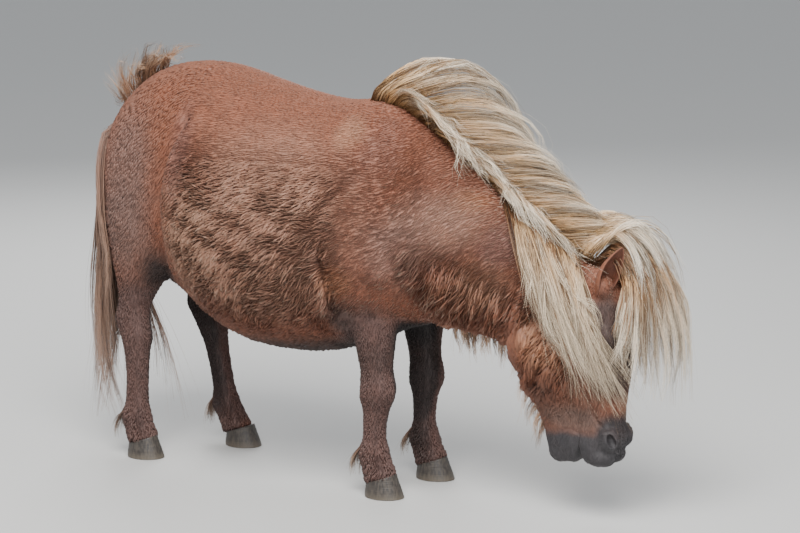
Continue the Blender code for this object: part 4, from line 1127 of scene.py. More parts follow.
@dataclass
class Hide:
    """One skin over torso, neck, head and legs, inside the solids by the coat's depth."""

    cell: float = 0.0036  # of the remesh
    triangles: int = 165_000  # that it keeps
    softness: float = 0.6  # factor of the smoothing
    passes: int = 92  # of the smoothing
    veins: float = 0.0006  # height of the veins and bumps on the head
    lid: float = 0.0032  # thickness of the lids
    slack: float = 0.0002  # between the ball of the eye and its socket
    opening: tuple = (0.0125, 0.013, 0.0085)  # half of the gap between the lids, along X, Y and Z
    obj: Object = field(init=False, default=None)

    def build(self, finish: Material) -> None:
        """Builds the hide in the pony's frame.

        Args:
            finish: Its material.
        """
        pieces = [loft("form", section_rings(table, 48)) for table in (TORSO, NECK, HEAD)]
        pieces += [loft("form", leg_rings(stance)) for stance in STANCES.values()]
        pieces += [muscle.mesh(side) for muscle in MUSCLES for side in Side]
        self.obj = joined("hide", pieces)
        remesh = self.obj.modifiers.new("remesh", "REMESH")
        remesh.mode = "VOXEL"
        remesh.voxel_size = self.cell
        settle(self.obj)
        self.smooth()
        self.sink()
        self.carve()
        self.thin()
        shade_smooth(self.obj)
        self.obj.data.materials.clear()
        self.obj.data.materials.append(finish)
        self.describe()

    def smooth(self) -> None:
        """Smooths the joins of the flesh, most on the trunk and least on head and feet."""
        x, _, z = points_of(self.obj).T
        weight = np.ones(len(x))
        weight[(x > 0.33) & (z < 0.68)] = 0.45
        weight[(x > 0.40) & (z < 0.60)] = 0.22
        weight[(z < 0.40) & ((x > -0.08) | (x < -0.5))] = 0.22
        weigh(self.obj, "soft", weight)
        ease = self.obj.modifiers.new("smooth", "SMOOTH")
        ease.vertex_group = "soft"
        ease.factor = self.softness
        ease.iterations = self.passes
        settle(self.obj)
        self.obj.vertex_groups.clear()

    def sink(self) -> None:
        """Presses the folds in and moves the hide inwards by the coat's depth."""
        points, normals = points_of(self.obj), normals_of(self.obj)
        region = Region(points)
        move = -region.depth()
        flat = points[:, [0, 2]]
        for fold in FOLDS:
            line = spline_rows(fold.line, 6)
            nearest = np.full(len(flat), np.inf)
            for a, b in zip(line, line[1:]):
                share = np.clip(((flat - a) @ (b - a)) / ((b - a) @ (b - a)), 0, 1)
                gap = np.linalg.norm(flat - a - share[:, None] * (b - a), axis=1)
                nearest = np.minimum(nearest, gap)
            dip = np.exp(-(nearest / fold.width * 1.8) ** 2)
            move -= fold.depth * dip * (np.abs(points[:, 1]) > fold.inner)
        x, y, z = points.T
        move += self.veins * (np.sin(x * 150 + z * 60) * np.sin(z * 90 - y * 120)) * region.head
        self.obj.data.vertices.foreach_set("co", (points + normals * move[:, None]).ravel())
        self.obj.data.update()

    def carve(self) -> None:
        """Cuts the mouth, nostrils and eye sockets and adds the lids."""
        corner_x, corner_z = MOUTH[2]
        outline = [*MOUTH, (corner_x - 0.002, corner_z)]
        slit = loft("slit", [np.array([(x, y, z) for x, z in outline]) for y in (-0.2, 0.2)])
        boolean(self.obj, slit, Cut.TAKE)
        x, y, z = EYE_CENTRE
        opening = Muscle((x + EYE_AHEAD, y + EYE_RADIUS, z), self.opening)
        for side in Side:
            for form, cut in ((Muscle(EYE_CENTRE, (EYE_RADIUS + self.lid,) * 3), Cut.JOIN),
                              (opening, Cut.TAKE),
                              (Muscle(EYE_CENTRE, (EYE_RADIUS + self.slack,) * 3), Cut.TAKE),
                              (NOSTRIL, Cut.TAKE)):
                boolean(self.obj, form.mesh(side), cut)

    def thin(self) -> None:
        """Reduces the triangles, least on the head."""
        x, _, z = points_of(self.obj).T
        weight = np.full(len(x), 0.75)
        weight[(z < 0.40) & ((x > -0.08) | (x < -0.5))] = 0.5
        weight[(x > 0.40) & (z < 0.60)] = 0.25
        weigh(self.obj, "coarse", weight)
        fewer = self.obj.modifiers.new("fewer", "DECIMATE")
        fewer.ratio = min(1.0, self.triangles / triangles_of(self.obj))
        fewer.vertex_group = "coarse"
        fewer.vertex_group_factor = 1.0
        settle(self.obj)
        self.obj.vertex_groups.clear()

    def describe(self) -> None:
        """Stores what coat and material read: lie, length, depth, lift, flow and bake place."""
        mesh = self.obj.data
        points, normals = points_of(self.obj), normals_of(self.obj)
        region = Region(points)
        put_attribute(mesh, "lie", square_to(region.lie(), normals))
        put_attribute(mesh, "length", region.length())
        put_attribute(mesh, "lift", np.radians(region.lift()))
        put_attribute(mesh, "depth", region.depth())
        down = np.maximum(region.head, region.legs)[:, None]
        level = np.abs(normals[:, 2:]) ** 0.5
        main = np.array([-0.86, 0.0, -0.51]) * (1 - level) + np.array([-1.0, 0, 0]) * level
        main = main * (1 - down) + np.array([0.0, 0.0, -1.0]) * down
        side = np.stack([-main[:, 2], main[:, 1], main[:, 0]], 1)
        put_attribute(mesh, "flow", np.stack([(points * main).sum(1), (points * side).sum(1),
                                              points[:, 1]], 1))
        put_attribute(mesh, "bake_place", bake_places(points, region))


def round_turn(across: np.ndarray, along: np.ndarray) -> np.ndarray:
    """Returns the share of a full turn, from 0 to 1, at which points lie round an axis."""
    return np.arctan2(across, along) / (2 * math.pi) + 0.5


def bake_places(points: np.ndarray, region: Region) -> np.ndarray:
    """Unwraps the body: each part is a band with its length across and its girth upwards.

    Args:
        points: Rows of X, Y and Z in the pony's frame.
        region: Their masks.

    Returns:
        Rows of U, V and 0.
    """
    x, y, z = points.T
    place = np.zeros((len(x), 3))
    place[:, 0] = BAKE_EDGE + 0.60 * np.clip((x + 0.86) / 1.40, 0, 1)
    place[:, 1] = BAKE_EDGE + 0.56 * round_turn(y, z - 0.68)
    head = region.head > 0.5
    place[head, 0] = 0.65 + 0.33 * round_turn(y, x - 0.50)[head]
    place[head, 1] = BAKE_EDGE + 0.56 * np.clip((z[head] - 0.12) / 0.52, 0, 1)
    for k, stance in enumerate(STANCES.values()):
        near = (np.abs(x - stance.x) < 0.16) & (y * stance.side > 0.012)
        near &= (z < 0.44) & ~head
        turn = round_turn(y - stance.side * stance.track, x - stance.x)
        place[near, 0] = BAKE_EDGE + 0.245 * k + 0.23 * turn[near]
        place[near, 1] = 0.60 + 0.39 * np.clip(z[near] / 0.44, 0, 1)
    return place


# ---------------------------------------------------------------- the coat


class HairTree:
    """A Geometry Nodes tree for hair, with what each kind of hair needs at its start and end."""

    def __init__(self, name: str, **inputs: str) -> None:
        """Makes the tree and its inputs.

        Args:
            name: The tree's name.
            **inputs: The type of each input.
        """
        self.tree = bpy.data.node_groups.new(name, "GeometryNodeTree")
        self.g = Graph(self.tree)
        make = self.tree.interface.new_socket
        make("Geometry", in_out="OUTPUT", socket_type="NodeSocketGeometry")
        make("Geometry", in_out="INPUT", socket_type="NodeSocketGeometry")
        self.ids = {label: make(label, in_out="INPUT", socket_type=f"NodeSocket{kind}").identifier
                    for label, kind in inputs.items()}
        self.given = self.g.add("NodeGroupInput").outputs

    def named(self, name: str, kind: str = "FLOAT") -> NodeSocket:
        """Adds a node that reads a named attribute of a type, and returns the value's socket."""
        node = self.g.add("GeometryNodeInputNamedAttribute", {"data_type": kind}, Name=name)
        return node.outputs["Attribute"]

    def store(self, geometry, name: str, kind: str, domain: str, value) -> NodeSocket:
        """Adds a node that stores a named attribute.

        Args:
            geometry: The geometry's socket.
            name: The attribute.
            kind: Its data type.
            domain: Where it is kept.
            value: The value's socket.

        Returns:
            The geometry's socket.
        """
        return self.g.add(
            "GeometryNodeStoreNamedAttribute", {"data_type": kind, "domain": domain},
            Geometry=geometry, Name=name, Value=value).outputs[0]

    def end(self, geometry, local) -> None:
        """Stores the bake places, sets the material and ends the tree.

        Args:
            geometry: The hair's socket.
            local: The socket of the place on one tuft or strand, each from 0 to 1.
        """
        place = self.g.vector("ADD", self.named("bake_place", "FLOAT_VECTOR"),
                              self.g.scaled(local, BAKE_PATCH))
        baked = self.store(geometry, "OFBake", "FLOAT2", "CORNER", place)
        dressed = self.g.add("GeometryNodeSetMaterial", None, Geometry=baked,
                             Material=self.given["Finish"])
        self.g.add("NodeGroupOutput", None, Geometry=dressed.outputs[0])

    def run(self, obj: Object, **values) -> None:
        """Runs the tree on an object and makes the result its mesh.

        Args:
            obj: The object.
            **values: The tree's inputs.
        """
        hair = obj.modifiers.new("hair", "NODES")
        hair.node_group = self.tree
        for label, value in values.items():
            hair[self.ids[label]] = value
        settle(obj)
        LOG.info("%s: %d triangles", obj.name, triangles_of(obj))


class TuftTree(HairTree):
    """The tree that sets tufts on a piece of hide along the lie of the coat."""

    def __init__(self) -> None:
        """Builds the tree."""
        super().__init__("tufts_on_hide", Tufts="Collection", Spacing="Float", Width="Float",
                         Fray="Float", Seed="Int", Finish="Material")
        g, given = self.g, self.given
        spread = g.add("GeometryNodeDistributePointsOnFaces", {"distribute_method": "POISSON"},
                       Mesh=given["Geometry"], Distance_Min=given["Spacing"],
                       Density_Max=TUFT_DENSITY, Seed=given["Seed"])
        length, lift = self.named("length"), self.named("lift")
        frame = g.add("FunctionNodeAxesToRotation", {"primary_axis": "Z", "secondary_axis": "X"},
                      Primary_Axis=spread.outputs["Normal"],
                      Secondary_Axis=self.named("lie", "FLOAT_VECTOR"))
        yaw = self.chance(g.math("MULTIPLY", given["Fray"], -1.0), given["Fray"], 11)
        pitch = g.math("MULTIPLY", lift, self.chance(-1.5, -0.6, 12))
        euler = g.add("ShaderNodeCombineXYZ", None, X=0.0, Y=pitch, Z=yaw)
        swing = g.add("FunctionNodeEulerToRotation")
        g.feed(swing.inputs[0], euler.outputs[0])
        turn = g.add("FunctionNodeRotateRotation", {"rotation_space": "LOCAL"})
        g.feed(turn.inputs[0], frame.outputs[0])
        g.feed(turn.inputs[1], swing.outputs[0])
        own = g.math("MULTIPLY", length, self.chance(*TUFT_LENGTHS, 13))
        wide = g.math("MULTIPLY", own, given["Width"])
        flat = g.math("MULTIPLY", own, g.math("MULTIPLY_ADD", lift, *TUFT_HEIGHT))
        size = g.add("ShaderNodeCombineXYZ", None, X=own, Y=wide, Z=flat)
        kinds = g.add("GeometryNodeCollectionInfo", {"transform_space": "ORIGINAL"},
                      Collection=given["Tufts"], Separate_Children=True, Reset_Children=True)
        pick = g.add("FunctionNodeRandomValue", {"data_type": "INT"}, Seed=given["Seed"])
        for number, limit in ((4, 0), (5, len(TUFT_BENDS) - 1)):
            g.feed(pick.inputs[number], limit)
        tufts = g.add("GeometryNodeInstanceOnPoints", None, Points=spread.outputs["Points"],
                      Instance=kinds.outputs[0], Pick_Instance=True,
                      Instance_Index=pick.outputs[2], Rotation=turn.outputs[0],
                      Scale=size.outputs[0])
        toned = self.store(tufts.outputs[0], "tone", "FLOAT", "INSTANCE",
                           self.chance(0.0, 1.0, 14))
        real = g.add("GeometryNodeRealizeInstances", None, Geometry=toned)
        self.end(real.outputs[0], self.named("tuft_uv", "FLOAT_VECTOR"))

    def chance(self, low, high, salt: int) -> NodeSocket:
        """Adds a random number for each point.

        Args:
            low: The least value.
            high: The largest value.
            salt: Added to the seed.

        Returns:
            The number's socket.
        """
        node = self.g.add("FunctionNodeRandomValue", {"data_type": "FLOAT"},
                          Seed=self.g.math("ADD", self.given["Seed"], float(salt)))
        self.g.feed(node.inputs[2], low)
        self.g.feed(node.inputs[3], high)
        return node.outputs[1]


class TuftForm(Enum):
    """How a tuft is built: the share of the length and the width at each of its rings."""

    SHORT = ((-0.06, 0.75), (0.38, 1.0))
    LONG = ((-0.05, 0.7), (0.22, 1.0), (0.45, 0.95), (0.70, 0.65))


def tuft_mesh(name: str, bend: float, curl: float, form: TuftForm) -> Object:
    """Makes one tuft: a three-sided closed lock of unit length along X.

    Args:
        name: The object's name.
        bend: How far the tip droops towards the hide.
        curl: How far the tip turns to the side.
        form: Its rings.

    Returns:
        The object.
    """
    verts, uvs = [], []
    for share, width in form.value:
        middle = Vector((share, curl * share ** 2, -bend * share ** 2))
        for k in range(SIDES):
            turn = 2 * math.pi * k / SIDES + math.pi / 2
            verts.append(middle + Vector((0, math.cos(turn), 0.45 * math.sin(turn))) * width)
            uvs.append((k / SIDES, share, 0))
    verts.append(Vector((1, curl, -bend)))
    uvs.append((0.5, 1, 0))
    last = (len(form.value) - 1) * SIDES
    faces = [(2, 1, 0)]
    for start in range(0, last, SIDES):
        for k in range(SIDES):
            a, b = start + k, start + (k + 1) % SIDES
            faces.append((a, b, b + SIDES, a + SIDES))
    faces += [(last + k, last + (k + 1) % SIDES, last + SIDES) for k in range(SIDES)]
    obj = mesh_object(name, verts, faces)
    edit(obj, turn_out)
    put_attribute(obj.data, "tuft_uv", np.array(uvs))
    put_attribute(obj.data, "along", np.array(uvs)[:, 1].copy())
    shade_smooth(obj)
    return obj


@dataclass(frozen=True)
class CoatPiece:
    """One piece of the coat."""

    name: str
    spacing: float  # least distance between tufts
    width: float  # a tuft's half width over its length
    fray: float  # how far a tuft turns off the lie, in radians
    seed: int
    where: Callable[[Region], np.ndarray]  # gives a mask of the hide's points
    form: TuftForm = TuftForm.SHORT


COAT = [
    CoatPiece("coat_barrel_near", 0.0035, 0.036, 0.34, 1,
              lambda r: (r.barrel + r.belly > 0.3) & (r.points[:, 1] < 0)),
    CoatPiece("coat_barrel_far", 0.0040, 0.044, 0.34, 2,
              lambda r: (r.barrel + r.belly > 0.3) & (r.points[:, 1] >= 0)),
    CoatPiece("coat_rump", 0.0056, 0.038, 0.20, 3, lambda r: r.rump + r.legs > 0.5),
    CoatPiece("coat_back", 0.0048, 0.036, 0.16, 4,
              lambda r: (r.barrel + r.belly + r.rump + r.legs <= 0.5) & (r.trunk > 0.5)),
    CoatPiece("coat_neck", 0.0042, 0.036, 0.24, 5,
              lambda r: (r.neck > 0.5) & (r.under_neck <= 0.5)),
    CoatPiece("coat_legs", 0.0040, 0.050, 0.20, 6,
              lambda r: (r.legs > 0.5) & (r.points[:, 2] < 0.42)),
    CoatPiece("coat_face", 0.0028, 0.055, 0.18, 7, lambda r: r.face > 0.5),
    CoatPiece("coat_long", 0.0040, 0.026, 0.30, 8,
              lambda r: (r.under_neck > 0.3) | (r.cheek > 0.3), TuftForm.LONG),
]


@dataclass
class Coat:
    """The tufts of short and shaggy fur over the hide.

    Attributes:
        hide: The skin that they grow on.
        finish: Their material.
    """

    hide: Object
    finish: Material

    def kinds(self, form: TuftForm) -> Collection:
        """Makes the tufts that a piece is sown with.

        Args:
            form: How they are built.

        Returns:
            A collection with one object for each.
        """
        group = bpy.data.collections.new("tuft_forms")
        bpy.context.scene.collection.children.link(group)
        for k, (bend, curl) in enumerate(TUFT_BENDS):
            obj = tuft_mesh(f"tuft_{k}", bend, curl, form)
            bpy.context.scene.collection.objects.unlink(obj)
            group.objects.link(obj)
        return group

    def build(self) -> list:
        """Builds every piece of the coat and returns the objects."""
        tree = TuftTree()
        region = Region(points_of(self.hide))
        groups = {form: self.kinds(form) for form in TuftForm}
        made = [self.grow(piece, tree, groups[piece.form], region) for piece in COAT]
        for group in groups.values():
            for obj in list(group.objects):
                bpy.data.objects.remove(obj)
            bpy.data.collections.remove(group)
        bpy.data.node_groups.remove(tree.tree)
        return made

    def grow(self, piece: CoatPiece, tree: TuftTree, forms: Collection,
             region: Region) -> Object:
        """Grows one piece of the coat.

        Args:
            piece: What to grow.
            tree: The tufts' tree.
            forms: The forms of the tufts.
            region: The hide's masks.

        Returns:
            The piece, in the pony's frame.
        """
        ground = place_object(piece.name, self.hide.data.copy())
        keep = piece.where(region)

        def trim(work: bmesh.types.BMesh) -> None:
            """Deletes the points outside the piece."""
            work.verts.ensure_lookup_table()
            bmesh.ops.delete(work, geom=[v for v, kept in zip(work.verts, keep) if not kept],
                             context="VERTS")

        edit(ground, trim)
        tree.run(ground, Tufts=forms, Spacing=piece.spacing, Width=piece.width,
                 Fray=piece.fray, Seed=piece.seed, Finish=self.finish)
        return ground


# ---------------------------------------------------------------- long hair


def in_metres(guides: list) -> list:
    """Returns guide lines, each a list of points, that are given in millimetres."""
    return [[tuple(v / 1000 for v in point) for point in guide] for guide in guides]


CROWN = in_metres([
    [(500, -4, 640), (560, -6, 690), (622, -4, 672), (660, -6, 610), (678, -10, 530),
     (684, -12, 450)],
    [(510, 4, 636), (570, 22, 702), (632, 44, 678), (675, 62, 610), (698, 72, 530),
     (706, 76, 450)],
    [(480, 12, 650), (548, 52, 716), (612, 84, 694), (664, 104, 628), (700, 114, 545),
     (718, 118, 460)],
    [(440, 14, 670), (500, 80, 712), (560, 128, 680), (610, 150, 610), (645, 158, 530),
     (660, 160, 460)],
])
POLL = in_metres([
    [(545, -20, 610), (590, -26, 642), (626, -26, 620), (644, -32, 560), (647, -36, 500),
     (642, -38, 420)],
    [(545, 0, 615), (595, 4, 656), (638, 8, 630), (663, 10, 565), (675, 10, 500),
     (678, 10, 400)],
    [(540, 20, 615), (595, 36, 668), (644, 50, 645), (678, 62, 575), (698, 68, 500),
     (708, 72, 390)],
])
STRAY_FALL = in_metres([
    [(330, -20, 735), (400, -85, 690), (452, -118, 600), (500, -124, 500), (548, -118, 400),
     (590, -104, 310), (632, -70, 225)],
    [(450, -20, 665), (515, -90, 620), (556, -110, 540), (594, -112, 455), (628, -92, 360),
     (660, -50, 270), (676, -30, 215)],
])
NEAR_FALL = in_metres([
    [(300, -5, 755), (365, -75, 700), (410, -112, 620), (445, -122, 540), (480, -118, 470),
     (510, -112, 415), (530, -108, 370)],
    [(360, -6, 715), (425, -85, 672), (465, -112, 590), (495, -115, 520), (530, -110, 450),
     (560, -104, 395), (580, -98, 335)],
    [(430, -8, 672), (500, -85, 625), (540, -102, 545), (572, -104, 465), (598, -88, 400),
     (620, -62, 335), (640, -18, 265)],
    [(490, -10, 638), (535, -80, 615), (562, -98, 550), (590, -99, 480), (610, -88, 425),
     (634, -62, 380), (646, -24, 310)],
])
FORELOCK = in_metres([
    [(585, -16, 585), (628, -24, 592), (640, -50, 545), (636, -64, 500), (624, -68, 455),
     (610, -66, 400)],
    [(585, -6, 590), (645, -6, 612), (670, -14, 550), (680, -18, 470), (686, -18, 385),
     (684, -18, 300)],
    [(580, 8, 595), (648, 30, 632), (688, 55, 562), (708, 66, 475), (720, 70, 385),
     (722, 72, 285)],
    [(575, 16, 598), (642, 52, 650), (694, 90, 575), (722, 105, 480), (736, 110, 390),
     (738, 110, 300)],
])
TAIL = in_metres([
    [(-790, -10, 915), (-842, -22, 840), (-870, -36, 720), (-880, -42, 560), (-882, -45, 420),
     (-877, -48, 280), (-852, -56, 160), (-780, -64, 62)],
    [(-790, 0, 920), (-852, -2, 850), (-892, 0, 720), (-910, 0, 560), (-922, 0, 420),
     (-928, 0, 280), (-935, -4, 150), (-910, -10, 48)],
    [(-790, 10, 918), (-848, 22, 845), (-890, 36, 720), (-910, 44, 560), (-926, 48, 420),
     (-946, 50, 280), (-980, 50, 150), (-1016, 50, 50)],
    [(-790, 14, 912), (-838, 40, 835), (-862, 56, 720), (-873, 64, 560), (-877, 68, 420),
     (-877, 72, 280), (-873, 76, 160), (-860, 82, 55)],
])
TAIL_NEAR = in_metres([
    [(-775, -30, 925), (-768, -92, 830), (-774, -146, 700), (-770, -172, 560), (-776, -176, 420),
     (-768, -170, 280), (-740, -150, 160), (-671, -136, 66)],
    [(-788, -20, 920), (-806, -60, 838), (-824, -96, 715), (-832, -112, 560), (-840, -116, 420),
     (-840, -112, 280), (-826, -104, 160), (-782, -96, 56)],
])
TAIL_INNER = in_metres([
    [(-850, -10, 800), (-872, -10, 640), (-842, -8, 500), (-790, -6, 390), (-768, -6, 280),
     (-764, -10, 170), (-776, -10, 74)],
    [(-850, 10, 800), (-870, 10, 650), (-832, 6, 515), (-765, 2, 415), (-705, 2, 310),
     (-668, 2, 190), (-645, 2, 95)],
])
TAIL_HEAD = in_metres([
    [(-700, -6, 985), (-680, -14, 1012), (-645, -20, 1036), (-590, -24, 1054)],
    [(-745, -10, 958), (-735, -22, 996), (-705, -32, 1030), (-650, -40, 1058)],
    [(-780, 0, 935), (-782, -4, 980), (-762, -10, 1018), (-715, -16, 1044)],
    [(-805, -6, 905), (-828, -12, 950), (-832, -20, 990), (-805, -30, 1020)],
    [(-820, 6, 880), (-858, 4, 915), (-882, -2, 940), (-900, -10, 962)],
])
FEATHERS = in_metres([
    [(-20, -22, 128), (-42, -26, 104), (-54, -28, 78), (-56, -28, 50)],
    [(-24, 0, 132), (-50, 0, 104), (-64, 0, 74), (-66, 0, 44)],
    [(-20, 22, 128), (-42, 26, 104), (-54, 28, 78), (-56, 28, 50)],
])
JAW_HAIR = in_metres([
    [(392, -14, 442), (352, -18, 412), (335, -18, 368), (343, -16, 322)],
    [(412, -16, 340), (378, -20, 312), (361, -20, 270), (372, -18, 232)],
    [(445, -14, 225), (412, -16, 200), (399, -16, 165), (410, -14, 132)],
])
THROAT_HAIR = in_metres([
    [(165, -16, 462), (168, -18, 425), (174, -18, 392), (182, -16, 362)],
    [(225, -12, 458), (226, -14, 422), (232, -14, 388), (242, -12, 355)],
    [(345, -14, 440), (322, -18, 402), (314, -18, 362), (320, -16, 322)],
])


def mirrored(guides: list) -> list:
    """Returns the guides on the other side of the middle plane."""
    return [[(x, -y, z) for x, y, z in guide] for guide in guides]


@dataclass(frozen=True)
class Swath:
    """A stretch of long hair between guide lines.

    Attributes:
        guides: The guide lines, from root to tip, in the pony's frame.
        locks: How many locks it falls into.
        strands: Strands in a lock.
        root_width: How far a lock's strands spread at the root.
        tip_width: And at the tip.
        girth: Half the width of a strand.
        wave: How far strands wave.
        stray: How far a lock may stray from the guides at its tip.
        reach: The least and largest share of the guides' length.
        lift: Height of the middle of the locks over the hide.
        segments: Parts of each strand.
        wild: The share of strands that stray far.
    """

    guides: list
    locks: int
    strands: int
    root_width: float
    tip_width: float
    girth: float
    wave: float
    stray: float
    reach: tuple = (0.8, 1.0)
    lift: float = 0.006
    segments: int = 8
    wild: float = 0.04


class Ground:
    """The hide as a surface that long hair lies on."""

    def __init__(self, hide: Object, low: Vector, high: Vector) -> None:
        """Builds the search tree.

        Args:
            hide: The skin in the pony's frame.
            low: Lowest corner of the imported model, in the pony's frame.
            high: Highest corner.
        """
        self.low, self.high = np.array(low), np.array(high)
        verts = [v.co.copy() for v in hide.data.vertices]
        faces = [tuple(p.vertices) for p in hide.data.polygons]
        self.tree = BVHTree.FromPolygons(verts, faces)

    def lay(self, point: Vector, lift: float) -> Vector:
        """Moves a point out to at least a height above the hide, unless it is far inside.

        Args:
            point: The point.
            lift: The least height.

        Returns:
            The moved point.
        """
        near, normal, _, distance = self.tree.find_nearest(point, SEARCH)
        if near is None:
            return point
        height = distance if (point - near).dot(normal) >= 0 else -distance
        if -DEEPEST < height < lift:
            return point + normal * (lift - height)
        return point

    def lay_line(self, line: np.ndarray, share: np.ndarray, root: float,
                 lift: float) -> np.ndarray:
        """Lays a line on the hide, but for its root.

        Args:
            line: The line's points.
            share: The points' shares of its length.
            root: The share of its length that is left.
            lift: The least height of the rest over the hide.

        Returns:
            The moved points.
        """
        return np.array([self.lay(Vector(point), lift) if s > root else Vector(point)
                         for point, s in zip(line, share)])

    def within(self, points: np.ndarray) -> np.ndarray:
        """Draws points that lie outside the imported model's box most of the way back to it."""
        kept = np.clip(points, self.low, self.high)
        return kept + (points - kept) * PAST_BOX

    def top(self, x: float) -> Vector:
        """Returns the point of the top line over a place on the middle plane."""
        hit, _, _, _ = self.tree.ray_cast(Vector((x, 0, 3)), Vector((0, 0, -1)))
        return hit


class StrandTree(HairTree):
    """The tree that sweeps a flat three-sided strand along each line."""

    def __init__(self) -> None:
        """Builds the tree."""
        super().__init__("strands_along_lines", Flatness="Float", Finish="Material")
        g = self.g
        lines = g.add("GeometryNodeMeshToCurve", None, Mesh=self.given["Geometry"])
        ring = g.add("GeometryNodeCurvePrimitiveCircle", {"mode": "RADIUS"}, Resolution=SIDES,
                     Radius=1.0)
        scale = g.add("ShaderNodeCombineXYZ", None, X=1.0, Y=self.given["Flatness"], Z=1.0)
        flat = g.add("GeometryNodeTransform", None, Geometry=ring.outputs[0],
                     Scale=scale.outputs[0])
        turn = g.math("DIVIDE", g.add("GeometryNodeInputIndex").outputs[0], float(SIDES))
        marked = self.store(flat.outputs[0], "turn", "FLOAT", "POINT", turn)
        sweep = g.add("GeometryNodeCurveToMesh", None, Curve=lines.outputs[0],
                      Profile_Curve=marked, Scale=self.named("girth"), Fill_Caps=True)
        soft = g.add("GeometryNodeSetShadeSmooth", None, Geometry=sweep.outputs[0])
        local = g.add("ShaderNodeCombineXYZ", None, X=self.named("turn"),
                      Y=self.named("along"), Z=0.0)
        self.end(soft.outputs[0], local.outputs[0])


@dataclass(frozen=True)
class Lock:
    """One lock of a swath."""

    middle: np.ndarray  # its middle line
    beside: np.ndarray  # directions across it at the line's points
    out: np.ndarray  # directions out of its flat side
    share: np.ndarray  # of its length, at each point
    across: float  # its place in the swath, from 0 to 1
    phase: float  # of its wave
    tone: float  # from 0 to 1


